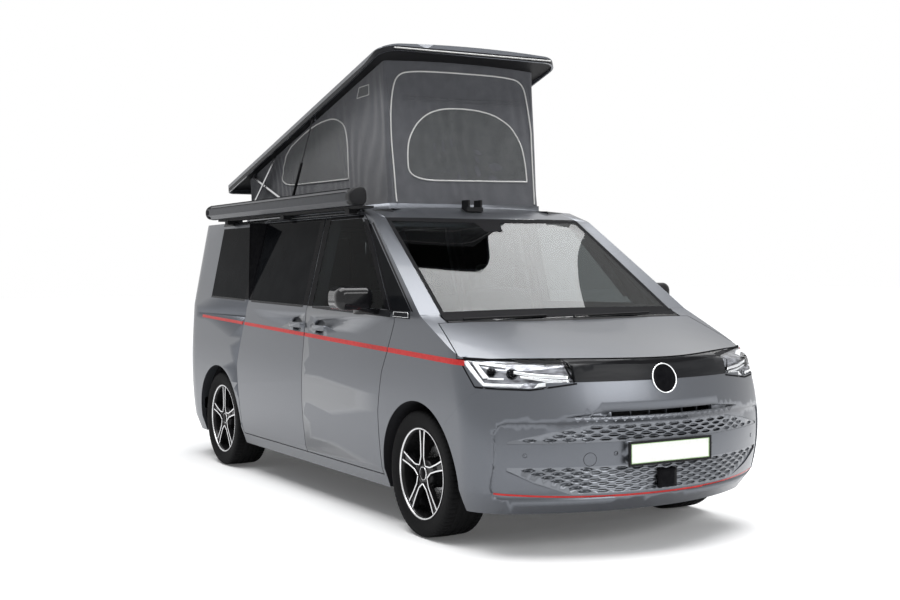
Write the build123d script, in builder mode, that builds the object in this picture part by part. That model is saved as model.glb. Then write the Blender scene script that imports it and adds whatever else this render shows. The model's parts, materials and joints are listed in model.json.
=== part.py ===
from build123d import *

# Camper van with its pop-top roof raised. Millimetres, +X ahead, +Y to the left, +Z up,
# origin on the ground under the middle of the body.
import os
from math import atan2, cos, degrees, hypot, pi, radians, sin, sqrt, tan

os.makedirs("parts", exist_ok=True)

# ---------------------------------------------------------------- driving sizes
length = 5173.0
width = 1941.0
wheelbase = 3124.0
front_overhang = 1000.0
ground_clearance = 215.0

wall = 70.0  # doors, sides and tailgate, outer skin to lining
skin = 30.0  # bumpers
panel = 3.5  # wings and bonnet skin
glass = 6.0
roof_wall = 45.0
door_gap = 6.0
tailgate_gap = 6.0
seat_gap = 0.4  # between fixed pieces that seat on one another
seal_lap = 25.0  # how far a door laps over its frame
frame_depth = 40.0  # of the door frames behind the doors

front_axle = length / 2 - front_overhang
rear_axle = front_axle - wheelbase
nose_x = length / 2
tail_x = -length / 2
half_width = width / 2

# wheels
tyre_radius = 351.5
tyre_width = 245.0
rim_radius = 241.0
wheel_face = 929.0  # |y| of the rim's outer edge
hub_height = 351.5
arch_radius = 425.0
arch_height = 330.0
steered_room = 480.0  # |y| of the front wheel housing's inner wall
rear_room = 660.0
kingpin_y = 740.0

# belt, roof line and glass
belt = 1222.0
roof_edge = 1812.0  # top of the doors
window_top = 1788.0
roof_split = 700.0  # |y| where the roof meets the sides
cowl = (101.0, 1175.0)  # windscreen foot, ahead of the front axle and height
header = (-860.0, 1795.0)  # windscreen head
cap = (-1040.0, 1868.0)  # where the fixed roof levels out
roof_tail_height = 1850.0

# pop-top roof, stations ahead of the front axle
tent_front = -1060.0
tent_rear = -3480.0
tent_half = 565.0
tent_foot = 1890.0
lid_front = -950.0
lid_rear = -3730.0
lid_half = 665.0
lid_front_height = 2868.0
lid_rear_height = 2135.0
lid_skin = 30.0
lid_lip = 55.0
lid_front_lip = 34.0  # shallower across the front
lid_crown = 25.0
pivot_height = 1912.0  # of the feet of the arms, braces and gas struts
pivot_drop = 52.0  # of the pivots on the lid, under its top
arm_foot_x = -2515.0
arm_top_x = -3320.0
brace_foot_x = -3380.0
brace_top_x = -2835.0
strut_foot_x = -2495.0
strut_top_x = -2080.0
arm_y = 582.0  # |y| of the inner face of each piece's lane
brace_y = 600.0
strut_y = 624.0
bar_thick = 8.0
bar_half = 8.0
pin_radius = 4.0
pin_play = 0.05


def ahead(distance):
    """x of a station given by its distance ahead of the front axle."""
    return front_axle + distance


def behind(distance):
    """x of a station given by its distance ahead of the rear axle, measured at the real wheelbase."""
    return rear_axle + distance


# ---------------------------------------------------------------- body envelope
nose_radius = 1490.0
tail_radius = 1650.0

# height, nose setback, tail setback, side setback, front corner radius, rear corner radius
skirt_rows = (
    (ground_clearance, 150.0, 60.0, 66.0, 300.0, 380.0),
    (330.0, 45.0, 15.0, 25.0, 300.0, 400.0),
)
side_rows = (
    (330.0, 45.0, 15.0, 25.0, 300.0, 400.0),
    (560.0, 8.0, 1.5, 3.5, 300.0, 400.0),
    (800.0, 34.0, 6.0, 1.5, 330.0, 380.0),
    (1010.0, 88.0, 12.0, 17.0, 420.0, 340.0),
    (1200.0, 150.0, 20.0, 36.0, 420.0, 300.0),
)
cabin_rows = (
    (1200.0, 150.0, 20.0, 36.0, 420.0, 300.0),
    (1900.0, 150.0, 48.0, 201.0, 420.0, 240.0),
)


def plan_outline(row, inset):
    """Plan of the body at one height: nose arc, corner arcs, straight sides and tail arc."""
    height, nose_back, tail_in, side_in, front_corner, rear_corner = row
    half = half_width - side_in - inset
    nose = nose_x - nose_back - inset
    tail = tail_x + tail_in + inset
    nose_r, tail_r = nose_radius - inset, tail_radius - inset
    front_r, rear_r = front_corner - inset, rear_corner - inset
    nose_cx, tail_cx = nose - nose_r, tail + tail_r
    front_cx = nose_cx + sqrt((nose_r - front_r) ** 2 - (half - front_r) ** 2)
    rear_cx = tail_cx - sqrt((tail_r - rear_r) ** 2 - (half - rear_r) ** 2)
    front_turn = atan2(half - front_r, front_cx - nose_cx)
    rear_turn = atan2(half - rear_r, tail_cx - rear_cx)
    front_mid, rear_mid = (front_turn + pi / 2) / 2, (rear_turn + pi / 2) / 2
    with BuildSketch(Plane.XY.offset(height)) as outline:
        with BuildLine():
            for side in (-1, 1):
                shoulder = (front_cx, side * half)
                hip = (rear_cx, side * half)
                cheek = (nose_cx + nose_r * cos(front_turn), side * nose_r * sin(front_turn))
                haunch = (tail_cx - tail_r * cos(rear_turn), side * tail_r * sin(rear_turn))
                front_bend = (
                    front_cx + front_r * cos(front_mid),
                    side * (half - front_r + front_r * sin(front_mid)),
                )
                rear_bend = (
                    rear_cx - rear_r * cos(rear_mid),
                    side * (half - rear_r + rear_r * sin(rear_mid)),
                )
                ThreePointArc(cheek, front_bend, shoulder)
                Line(shoulder, hip)
                ThreePointArc(hip, rear_bend, haunch)
                if side < 0:
                    ThreePointArc(cheek, (nose, 0), (cheek[0], -cheek[1]))
                    ThreePointArc(haunch, (tail, 0), (haunch[0], -haunch[1]))
        make_face()
    return outline.sketch.faces()[0]


def hull(inset):
    """Plan lofts from the skirt to above the roof, drawn in by inset."""
    with BuildPart() as form:
        for rows in (skirt_rows, side_rows, cabin_rows):
            loft(sections=[plan_outline(row, inset) for row in rows], ruled=len(rows) == 2)
    return form.part


def side_profile(y, front_height, cowl_at, header_at, cap_at, tail_height, back, drop):
    """Side view under the bonnet, windscreen and roof at one y, moved back and down."""
    deep = 60.0
    with BuildSketch(Plane.XZ.offset(-y)) as profile:
        with BuildLine():
            Polyline(
                (tail_x - 200, deep),
                (nose_x + 200, deep),
                (nose_x + 200, front_height - drop),
                (ahead(cowl_at[0]) - back, cowl_at[1] - drop),
                (ahead(header_at[0]) - back, header_at[1] - drop),
                (ahead(cap_at[0]) - back, cap_at[1] - drop),
                (tail_x - 200, tail_height - drop),
                close=True,
            )
        make_face()
    return profile.sketch.faces()[0]


def lid_form(back=0.0, drop=0.0):
    """What lies under the crowned top of the body: bonnet, windscreen and roof."""
    edge = ((0.0, 1222.0), (-794.0, 1769.0), (-1000.0, 1828.0))
    middle = side_profile(0, 949.0, cowl, header, cap, roof_tail_height, back, drop)
    with BuildPart() as form:
        sides = [
            side_profile(y, 665.0, edge[0], edge[1], edge[2], 1815.0, back, drop)
            for y in (-half_width, half_width)
        ]
        loft(sections=[sides[0], middle, sides[1]])
    return form.part


def body_form(inset, back=0.0, drop=0.0):
    """The closed body drawn in by inset at the sides, and moved back and down at the top."""
    with BuildPart() as form:
        add(hull(inset))
        add(lid_form(back, drop), mode=Mode.INTERSECT)
    return form.part


# ---------------------------------------------------------------- outlines in side view
front_door_line = (
    (-440.0, 293.0), (-440.0, 666.0), (-402.0, 887.0), (-352.0, 1000.0), (-290.0, 1173.0),
    (-300.0, 1214.0), (-362.0, 1234.0), (-902.0, 1778.0), (-960.0, roof_edge),
    (-1519.0, roof_edge), (-1530.0, 1173.0), (-1530.0, 293.0),
)
sliding_door_line = (
    (-1536.0, 293.0), (-1536.0, 1173.0), (-1525.0, roof_edge), (-2545.0, roof_edge),
    (-2590.0, 1230.0), (-2608.0, 1126.0), (-2712.0, 785.0), (-2690.0, 600.0), (-2665.0, 293.0),
)
front_window_line = ((-425.0, 1244.0), (-948.0, 1764.0), (-980.0, window_top), (-1440.0, window_top), (-1455.0, 1240.0))
quarter_window_line = ((-110.0, 1238.0), (-340.0, 1238.0), (-850.0, 1748.0), (-835.0, 1748.0))
sliding_window_line = ((-1600.0, 1242.0), (-1590.0, window_top), (-2515.0, window_top), (-2535.0, 1256.0))
rear_window_line = ((-2665.0, 1260.0), (-2635.0, window_top), (-3420.0, window_top), (-3385.0, 1274.0))
front_end = front_overhang + 150
bumper_line = ((300.0, 100.0), (300.0, 620.0), (345.0, 668.0), (621.0, 868.0), (front_end, 868.0), (front_end, 100.0))
bumper_brow = ((-1100.0, 867.0), (-620.0, 895.0), (620.0, 895.0), (1100.0, 867.0), (1100.0, 100.0), (-1100.0, 100.0))
lamp_line = ((466.0, 1005.0), (625.0, 868.4), (front_end, 868.4), (front_end, 1005.0))
lamp_brow = ((-1100.0, 1005.0), (-500.0, 1005.0), (-520.0, 906.0), (-620.0, 895.4), (-1100.0, 867.4))
arch_front_x = front_axle + 18.0
arch_rear_x = rear_axle
hinge_line_x = -436.0
tailgate_top_x = -3960.0
tailgate_foot = 486.0
bonnet_rear_x = 106.0


def side_prism(points, grow=0.0, reach=1250.0):
    """The side-view outline, given ahead of the front axle, across the right half of the body."""
    with BuildPart() as prism:
        with BuildSketch(Plane.XZ):
            with BuildLine():
                Polyline(*[(ahead(x), z) for x, z in points], close=True)
            make_face()
            if grow:
                offset(amount=grow, kind=Kind.INTERSECTION)
        extrude(amount=reach)
    return prism.part


def face_prism(points, grow=0.0):
    """A front-view outline (y, z) run along the whole body."""
    with BuildPart() as prism:
        with BuildSketch(Plane.YZ.offset(tail_x - 100)):
            with BuildLine():
                Polyline(*points, close=True)
            make_face()
            if grow:
                offset(amount=grow, kind=Kind.INTERSECTION)
        extrude(amount=length + 300)
    return prism.part


def block(x, y, z):
    """A plain box from the coordinates of two opposite corners."""
    with BuildPart() as form:
        with BuildSketch(Plane.XY.offset(min(z))):
            with Locations(((x[0] + x[1]) / 2, (y[0] + y[1]) / 2)):
                Rectangle(abs(x[1] - x[0]), abs(y[1] - y[0]))
        extrude(amount=abs(z[1] - z[0]))
    return form.part


def arch(axle, radius, inner, outer_y=1200.0):
    """Wheel opening on the right side, round over the wheel and open below."""
    with BuildPart() as form:
        with BuildSketch(Plane.XZ.offset(inner)):
            with Locations((axle, arch_height)):
                Circle(radius)
            with Locations((axle, arch_height / 2 - 50)):
                Rectangle(radius * 2, arch_height + 100)
        extrude(amount=outer_y - inner)
    return form.part


def rod(start, end, radius):
    """A round bar between two points."""
    start, end = Vector(*start), Vector(*end)
    with BuildPart() as form:
        with BuildSketch(Plane(origin=start, z_dir=end - start)):
            Circle(radius)
        extrude(amount=(end - start).length)
    return form.part


def combine(first, *others, cut=(), keep=()):
    """One part from several forms, less what is cut, within what is kept."""
    with BuildPart() as form:
        add(first)
        if others:
            add(others)
        for other in keep:
            add(other, mode=Mode.INTERSECT)
        if cut:
            add(cut, mode=Mode.SUBTRACT)
    return form.part


def mirrored(part):
    """The same form on the vehicle's other side."""
    with BuildPart() as form:
        mirror(part, about=Plane.XZ)
    return form.part


def both_sides(part):
    """The form and its mirror image, as one node."""
    with BuildPart() as form:
        add(part)
        mirror(part, about=Plane.XZ)
    return form.part


def save(name, part):
    """Writes one finished piece."""
    part.label = name
    export_step(part, f"parts/{name}.step")


# ---------------------------------------------------------------- body forms
outer = body_form(0)
clear_form = body_form(-seat_gap, back=-seat_gap, drop=-seat_gap)
cavity = body_form(wall, back=25.0, drop=roof_wall)
seal_core = body_form(wall + seat_gap, back=25.0, drop=roof_wall + seat_gap)
frame_core = body_form(wall + frame_depth, back=25.0, drop=roof_wall + 15.0)
frame_outer = body_form(wall - 10.0, back=25.0, drop=roof_wall - 5)
skin_core = body_form(skin, back=20.0, drop=skin)
liner_core = body_form(skin + seat_gap, back=25.0, drop=skin + seat_gap)
panel_core = body_form(panel, back=3.0, drop=panel)
glass_core = body_form(glass, back=4.0, drop=5.0)
lamp_core = body_form(60.0, back=50.0, drop=60.0)

shell = combine(outer, cut=[cavity])
skin_shell = combine(outer, cut=[skin_core])
panel_shell = combine(outer, cut=[panel_core])
glass_shell = combine(outer, cut=[glass_core])
lamp_shell = combine(outer, cut=[lamp_core])

right_half = block((tail_x - 50, nose_x + 50), (-1250, -roof_split), (100, 2000))
middle = block((tail_x - 50, nose_x + 50), (-roof_split + seat_gap, roof_split - seat_gap), (100, 2000))
front_arch = arch(arch_front_x, arch_radius, steered_room)
rear_arch = arch(arch_rear_x, arch_radius, rear_room)

# ---------------------------------------------------------------- doors, right side
front_door_prism = side_prism(front_door_line)
# the door's rear face is round about its hinge line, so that it swings clear of the post
hinge_x, hinge_y = ahead(hinge_line_x), half_width + 0.5
door_reach = 1094.0
front_handle = (-1297.0, 1112.0)
sliding_handle = (-1666.0, 1120.0)
handle_face = 943.0  # |y| of the doors' skin at the handles
handle_size = (196.0, 34.0, 20.0)
dish_size = (168.0, 84.0)
dish_depth = 16.0
with BuildPart() as hinge_drum:
    with BuildSketch(Plane.XY.offset(200)):
        with Locations((hinge_x, -hinge_y)):
            Circle(door_reach)
    extrude(amount=1700)
door_side = block((tail_x, nose_x), (-1250, -712), (100, 2000))


def handle_dish(place):
    """Oval dish sunk in the door behind its handle."""
    with BuildPart() as dish:
        with BuildSketch(Plane.XZ.offset(handle_face - dish_depth)):
            with Locations((ahead(place[0]), place[1])):
                Ellipse(dish_size[0] / 2, dish_size[1] / 2)
        extrude(amount=200)
    return dish.part


def handle_bar(place):
    """Pull handle across the dish, joined to the door at both ends."""
    with BuildPart() as bar_form:
        with BuildSketch(Plane.XZ.offset(handle_face - 3)):
            with Locations((ahead(place[0]), place[1] - 8)):
                SlotOverall(handle_size[0], handle_size[1])
        extrude(amount=handle_size[2])
    return bar_form.part


front_door_right = combine(
    combine(
        shell, keep=[front_door_prism, hinge_drum.part, door_side],
        cut=[side_prism(front_window_line), handle_dish(front_handle)],
    ),
    handle_bar(front_handle),
)
door_glass_right = combine(glass_shell, keep=[side_prism(front_window_line, -seat_gap)])
sliding_door_right = combine(
    combine(
        shell, keep=[side_prism(sliding_door_line), door_side],
        cut=[side_prism(sliding_window_line), handle_dish(sliding_handle)],
    ),
    handle_bar(sliding_handle),
)
front_opening = combine(side_prism(front_door_line, door_gap), cut=[seal_core])
sliding_opening = combine(side_prism(sliding_door_line, door_gap), cut=[seal_core])

# ---------------------------------------------------------------- side panels
frame_band = combine(frame_outer, cut=[frame_core])
behind_hinge = block((tail_x, ahead(hinge_line_x - 14)), (-1250, -roof_split), (230, 2000))
floor_top = 430.0
floor_deep = 50.0
liner = 6.0  # wheel housing's wall
rear_house_room = arch(arch_rear_x, arch_radius + liner + seat_gap, rear_room - liner - seat_gap)
floor_slot = block((tail_x, nose_x), (-1250, 0), (floor_top - floor_deep - seat_gap, floor_top + seat_gap))
front_frame = combine(
    side_prism(front_door_line, seal_lap),
    keep=[frame_band, behind_hinge],
    cut=[side_prism(front_door_line, -seal_lap), floor_slot],
)
sliding_frame = combine(
    side_prism(sliding_door_line, seal_lap),
    keep=[frame_band, block((tail_x, nose_x), (-1250, -roof_split), (230, 2000))],
    cut=[side_prism(sliding_door_line, -seal_lap), floor_slot, rear_house_room],
)
side_line = (
    (-434.0, 100.0), (-434.0, belt + seat_gap), (150.0, belt + seat_gap), (150.0, 2000.0),
    (-4400.0, 2000.0), (-4400.0, 100.0),
)
rear_bumper_line = ((-3500.0, 100.0), (-3500.0, 478.0), (-4400.0, 478.0), (-4400.0, 100.0))
tail_lamp_line = ((-3830.0, 1095.0), (-3790.0, 985.0), (-4400.0, 985.0), (-4400.0, 1095.0))
screen_line = ((80.0, 812.0), (-850.0, 706.0))
rail_slot = block((ahead(-3590), ahead(-2600)), (-1250, -934), (1131, 1141))
tail_lamp_zone = combine(side_prism(tail_lamp_line), cut=[lamp_core])
with BuildPart() as screen_prism:
    with BuildSketch(Plane.XY.offset(1100)):
        with BuildLine():
            Polyline(
                *[(ahead(x), y) for x, y in screen_line],
                *[(ahead(x), -y) for x, y in reversed(screen_line)],
                close=True,
            )
        make_face()
    extrude(amount=800)
with BuildPart() as screen_fill:
    with BuildSketch(Plane.XY.offset(1100)):
        with BuildLine():
            Polyline(
                *[(ahead(x), y) for x, y in screen_line],
                *[(ahead(x), -y) for x, y in reversed(screen_line)],
                close=True,
            )
        make_face()
        offset(amount=-seat_gap, kind=Kind.INTERSECTION)
    extrude(amount=800)
side_panel_right = combine(
    combine(shell, keep=[side_prism(side_line), right_half]),
    front_frame,
    sliding_frame,
    cut=[
        front_opening, sliding_opening, rear_arch, front_arch, side_prism(rear_bumper_line, seat_gap), rail_slot,
        side_prism(quarter_window_line), side_prism(rear_window_line), tail_lamp_zone, screen_prism.part,
        block((ahead(bonnet_rear_x - 6), nose_x), (-1250, 0), (belt - 100, 2000)),
    ],
)
side_glass_right = combine(
    glass_shell,
    keep=[
        combine(
            side_prism(quarter_window_line, -seat_gap),
            side_prism(sliding_window_line, -seat_gap),
            side_prism(rear_window_line, -seat_gap),
        )
    ],
)
tail_lamp_right = combine(
    lamp_shell, keep=[side_prism(tail_lamp_line, -seat_gap), block((tail_x - 50, 0), (-1250, -roof_split - seat_gap), (900, 1200))]
)

# ---------------------------------------------------------------- wings, bonnet, front
bonnet_side = ((bonnet_rear_x, 868.0), (430.0, 940.0), (430.0, 1200.0), (front_end, 1200.0))
with BuildPart() as bonnet_prism:
    with BuildSketch(Plane.XY.offset(1010)):
        with BuildLine():
            Polyline(
                *[(ahead(x), y) for x, y in bonnet_side],
                *[(ahead(x), -y) for x, y in reversed(bonnet_side)],
                close=True,
            )
        make_face()
    extrude(amount=400)
with BuildPart() as bonnet_opening:
    with BuildSketch(Plane.XY.offset(1004.6)):
        with BuildLine():
            Polyline(
                *[(ahead(x), y) for x, y in bonnet_side],
                *[(ahead(x), -y) for x, y in reversed(bonnet_side)],
                close=True,
            )
        make_face()
        offset(amount=door_gap, kind=Kind.INTERSECTION)
    extrude(amount=400)
# gooseneck hinges: each passes under the cowl panel to its pivot behind
bonnet_pivot = (60.0, 1170.0)
bonnet_lane = 650.0
pivot_x = ahead(bonnet_pivot[0])
with BuildPart() as bonnet_neck:
    with BuildSketch(Plane.XZ.offset(bonnet_lane)):
        with BuildLine() as spine:
            Polyline((ahead(130), 1156), (ahead(122), 1122), (pivot_x, 1122), (pivot_x, bonnet_pivot[1]))
        trace(spine.line, line_width=16)
        with Locations((pivot_x, bonnet_pivot[1])):
            Circle(10)
            Circle(pin_radius + pin_play, mode=Mode.SUBTRACT)
    extrude(amount=10)
bonnet = combine(combine(skin_shell, keep=[bonnet_prism.part]), bonnet_neck.part, mirrored(bonnet_neck.part))
wing_line = (
    (-433.6, 215.0), (-433.6, 700.0), (-433.6, belt), (60.0, belt), (700.0, belt), (700.0, 800.0),
    (345.0, 660.0), (300.0, 600.0), (300.0, 215.0),
)
wing_right = combine(
    panel_shell,
    keep=[side_prism(wing_line), block((tail_x, nose_x), (-1250, -815), (100, 2000))],
    cut=[
        side_prism(front_door_line, door_gap), front_arch, bonnet_opening.part,
        side_prism(bumper_line, seat_gap), side_prism(lamp_line, seat_gap),
    ],
)
recess_depth = 8.0
recess = (1770.0, 392.0, 498.0, 60.0)  # width, height, height of its centre, corner radius
slot_line = ((-570.0, 722.0), (-335.0, 745.0), (335.0, 745.0), (570.0, 722.0), (335.0, 716.0), (-335.0, 716.0))
slot_opening = (-332.0, 332.0, 718.0, 743.0)
slot_fins = 7
slot_fin_pitch = 110.0
slot_fin_thick = 5.0
upper_zone = ((-830.0, 590.0), (-830.0, 602.0), (-640.0, 648.0), (-450.0, 680.0))
lower_zone = ((-830.0, 470.0), (-830.0, 450.0), (-700.0, 384.0), (-520.0, 324.0))
grille_setback = 8.0  # of the grille's face behind the bumper's
grille_thick = 11.0
cell_pitch = (92.0, 19.0)
cell_size = (39.0, 19.0, 7.3)  # half length, half flat, half height
cell_pocket = 5.0  # depth of the closed cells in the outer ends
cells_open_to = 460.0
cell_rim = 4.0
plate_size = (520.0, 110.0)
plate_height = 528.0
plate_thick = 8.0


def zone_line(half):
    """Closed front-view outline from its right half, nearest the centre last."""
    return (*half, *[(-y, z) for y, z in reversed(half)])


def front_prism(points, grow=0.0):
    """A front-view outline run along the nose."""
    with BuildPart() as form:
        with BuildSketch(Plane.YZ.offset(ahead(300))):
            with BuildLine():
                Polyline(*points, close=True)
            make_face()
            if grow:
                offset(amount=grow, kind=Kind.INTERSECTION)
        extrude(amount=900)
    return form.part


def nose_setback(height):
    """How far the bumper's face lies behind the nose at one height, straight between the body's rows."""
    for low, high in zip(side_rows, side_rows[1:]):
        if height <= high[0]:
            break
    return low[1] + (high[1] - low[1]) * (height - low[0]) / (high[0] - low[0])


def nose_place(y, height, back):
    """Plane on the bumper's face at y and height, moved back along the outward normal in plan."""
    turn = atan2(y, sqrt(nose_radius**2 - y**2))
    reach = nose_radius - back
    return Plane(
        origin=(nose_x - nose_setback(height) - nose_radius + reach * cos(turn), reach * sin(turn), height),
        x_dir=(-sin(turn), cos(turn), 0),
        z_dir=(cos(turn), sin(turn), 0),
    )


def grille_band(height):
    """Plan of the honeycomb plate at one height: a band between two arcs."""
    front = nose_radius - grille_setback
    with BuildSketch(Plane.XY.offset(height)) as band:
        with Locations((nose_x - nose_setback(height) - nose_radius, 0)):
            Circle(front)
            Circle(front - grille_thick, mode=Mode.SUBTRACT)
        with Locations((nose_x, 0)):
            Rectangle(2 * front_overhang, width, mode=Mode.INTERSECT)
    return band.sketch.faces()[0]


def zone_reach(half, height):
    """Half width of a zone at one height, from its outline."""
    reach = 0.0
    for (y, z), (next_y, next_z) in zip(half, half[1:]):
        if min(z, next_z) <= height <= max(z, next_z) and z != next_z:
            reach = -(y + (next_y - y) * (height - z) / (next_z - z))
    return reach


def honeycomb(half):
    """Plate of one zone with rows of hexagons set over by half a cell, closed at the outer ends."""
    heights = [z for _, z in half]
    foot, top = min(heights), max(heights)
    with BuildPart() as plate:
        loft(sections=[grille_band(foot), grille_band(top)], ruled=True)
    pitch, rise = cell_pitch
    long, flat, tall = cell_size
    rows = int((top - foot - 2 * tall - cell_rim) // rise) + 1
    cells = []
    for row in range(rows):
        height = (foot + top) / 2 + (row - (rows - 1) / 2) * rise
        reach = min(zone_reach(half, height - tall), zone_reach(half, height + tall)) - long - cell_rim
        start = -int((reach + (row % 2) * pitch / 2) // pitch)
        y = start * pitch + (row % 2) * pitch / 2
        while y <= reach:
            depth = grille_thick + cell_rim if abs(y) < cells_open_to else cell_pocket + cell_rim
            with BuildPart() as cell:
                with BuildSketch(nose_place(y, height, grille_setback - cell_rim)):
                    Polygon((-long, 0), (-flat, tall), (flat, tall), (long, 0), (flat, -tall), (-flat, -tall))
                extrude(amount=-depth)
            cells.append(cell.part)
            y += pitch
    return combine(plate.part, keep=[front_prism(zone_line(half), -seat_gap)], cut=cells)


zones = [front_prism(zone_line(half)) for half in (upper_zone, lower_zone)]
with BuildPart() as recess_front:
    with BuildSketch(Plane.YZ.offset(ahead(300))):
        with Locations((0, recess[2])):
            RectangleRounded(recess[0], recess[1], recess[3])
    extrude(amount=900)
recess_form = combine(recess_front.part, front_prism(slot_line), cut=[hull(recess_depth)])
slot_low, slot_high = slot_opening[2:]
slot = block((ahead(300), nose_x + 50), slot_opening[:2], (slot_low, slot_high))
fins = []
for fin in range(slot_fins):
    fin_y = (fin - (slot_fins - 1) / 2) * slot_fin_pitch
    with BuildPart() as fin_form:
        with BuildSketch(nose_place(fin_y, (slot_low + slot_high) / 2, recess_depth + 3)):
            Rectangle(slot_fin_thick, slot_high - slot_low + 3)
        extrude(amount=-12)
    fins.append(fin_form.part)
plate_room = block(
    (nose_x - plate_thick - seat_gap, nose_x + 50),
    (-plate_size[0] / 2 - seat_gap, plate_size[0] / 2 + seat_gap),
    (plate_height - plate_size[1] / 2 - seat_gap, plate_height + plate_size[1] / 2 + seat_gap),
)
bumper_brow_block = block((ahead(500), nose_x + 100), (-640, 640), (700, 896))
front_bumper = combine(
    combine(
        combine(skin_shell, keep=[
            combine(side_prism(bumper_line), mirrored(side_prism(bumper_line)), bumper_brow_block),
            face_prism(bumper_brow),
        ]),
        cut=[recess_form, slot, *zones, front_arch, mirrored(front_arch), plate_room],
    ),
    block((nose_x - 38, nose_x - plate_thick - seat_gap), (-250, 250), (480, 576)),
    *fins,
)
number_plate = block(
    (nose_x - plate_thick, nose_x),
    (-plate_size[0] / 2, plate_size[0] / 2),
    (plate_height - plate_size[1] / 2, plate_height + plate_size[1] / 2),
)
upper_honeycomb = honeycomb(upper_zone)
lower_honeycomb = honeycomb(lower_zone)
bumper_grille = combine(upper_honeycomb, lower_honeycomb)
upper_grille = combine(skin_shell, keep=[block((ahead(500), nose_x), (-499, 499), (895.4, 1004.2))])
headlamp_right = combine(lamp_shell, keep=[side_prism(lamp_line), face_prism(lamp_brow)])

# ---------------------------------------------------------------- roof, cowl, screens, tail
gate_hinge = (-3965.0, 1875.0)
tent_hole = block((ahead(tent_rear + 45), ahead(tent_front - 45)), (-tent_half + 45, tent_half - 45), (1700, 2000))
collar = combine(
    block((ahead(tent_rear), ahead(tent_front)), (-tent_half, tent_half), (1840, tent_foot - seat_gap)),
    cut=[tent_hole],
)


def pivot_ear(x, z, y, foot, pin_reach, foot_x=(-22.0, 22.0)):
    """Upright ear on the right side with its cross pin towards the lane it holds."""
    with BuildPart() as ear:
        with BuildSketch(Plane.XZ.offset(-y[1])):
            with BuildLine():
                Polyline((x + foot_x[0], foot), (x - 10, z), (x + 10, z), (x + foot_x[1], foot), close=True)
            make_face()
            with Locations((x, z)):
                Circle(11)
        extrude(amount=y[1] - y[0])
    if not pin_reach:
        return ear.part
    return combine(ear.part, rod((x, (y[0] + y[1]) / 2, z), (x, pin_reach, z), pin_radius))


roof_foot = 1834.0
arm_ear = pivot_ear(ahead(arm_foot_x), pivot_height, (-arm_y + 2, -arm_y + 9), roof_foot, -arm_y - bar_thick)
brace_ear = pivot_ear(ahead(brace_foot_x), pivot_height, (-brace_y - 17, -brace_y - 10), roof_foot, -brace_y)
strut_ear = pivot_ear(ahead(strut_foot_x), pivot_height, (-strut_y + 4, -strut_y + 11), roof_foot, -strut_y - 20)
gate_y = 466.0
gate_ear = pivot_ear(
    ahead(gate_hinge[0]), gate_hinge[1], (-gate_y + 2, -gate_y + 12), roof_foot - 8, -gate_y - 16, (12.0, 60.0)
)
roof_panel = combine(
    combine(shell, keep=[middle, block((ahead(tailgate_top_x), ahead(-700)), (-1250, 1250), (1700, 2000))]),
    collar,
    *[form for ear in (arm_ear, brace_ear, strut_ear, gate_ear) for form in (ear, mirrored(ear))],
    cut=[screen_prism.part, tent_hole],
)
tailgate_line = ((tailgate_top_x - 6, 2000.0), (tailgate_top_x - 6, 1600.0), (-3900.0, 1600.0), (-3900.0, tailgate_foot), (-4400.0, tailgate_foot), (-4400.0, 2000.0))
tailgate_half = roof_split - tailgate_gap
tail_window = ((-600.0, 1250.0), (-560.0, 1740.0), (560.0, 1740.0), (600.0, 1250.0))
tail_side = block((tail_x - 50, 0), (-tailgate_half, tailgate_half), (400, 2000))
tail_window_prism = combine(face_prism(tail_window), keep=[block((tail_x - 50, 0), (-800, 800), (400, 2000))])
with BuildPart() as tailgate_zone:
    add(side_prism(tailgate_line))
    mirror(about=Plane.XZ)
with BuildPart() as gate_lug:
    with BuildSketch(Plane.XZ.offset(gate_y)):
        Polygon(
            (ahead(gate_hinge[0]) - 4, gate_hinge[1] + 9),
            (ahead(gate_hinge[0]) - 4, gate_hinge[1] - 9),
            (ahead(tailgate_top_x) - 12, 1832),
            (ahead(tailgate_top_x) - 60, 1832),
            align=None,
        )
        with Locations((ahead(gate_hinge[0]), gate_hinge[1])):
            Circle(10)
            Circle(pin_radius + pin_play, mode=Mode.SUBTRACT)
    extrude(amount=16)
tailgate = combine(
    combine(shell, keep=[tailgate_zone.part, tail_side], cut=[tail_window_prism]), gate_lug.part, mirrored(gate_lug.part)
)
tailgate_glass = combine(
    glass_shell, keep=[face_prism(tail_window, -seat_gap), block((tail_x - 50, ahead(-3900)), (-800, 800), (400, 2000))]
)
rear_bumper_zone = side_prism(tuple((x, z) for x, z in rear_bumper_line))
rear_bumper = combine(
    skin_shell,
    keep=[combine(rear_bumper_zone, mirrored(rear_bumper_zone))],
    cut=[arch(arch_rear_x, arch_radius, 0), mirrored(arch(arch_rear_x, arch_radius, 0))],
)
windscreen = combine(glass_shell, keep=[screen_fill.part, block((ahead(-900), ahead(80)), (-900, 900), (1150, 2000))])
cowl_panel = combine(glass_shell, keep=[block((ahead(80), ahead(100)), (-800, 800), (1120, 1250))])
side_panel_left = mirrored(side_panel_right)

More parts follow.
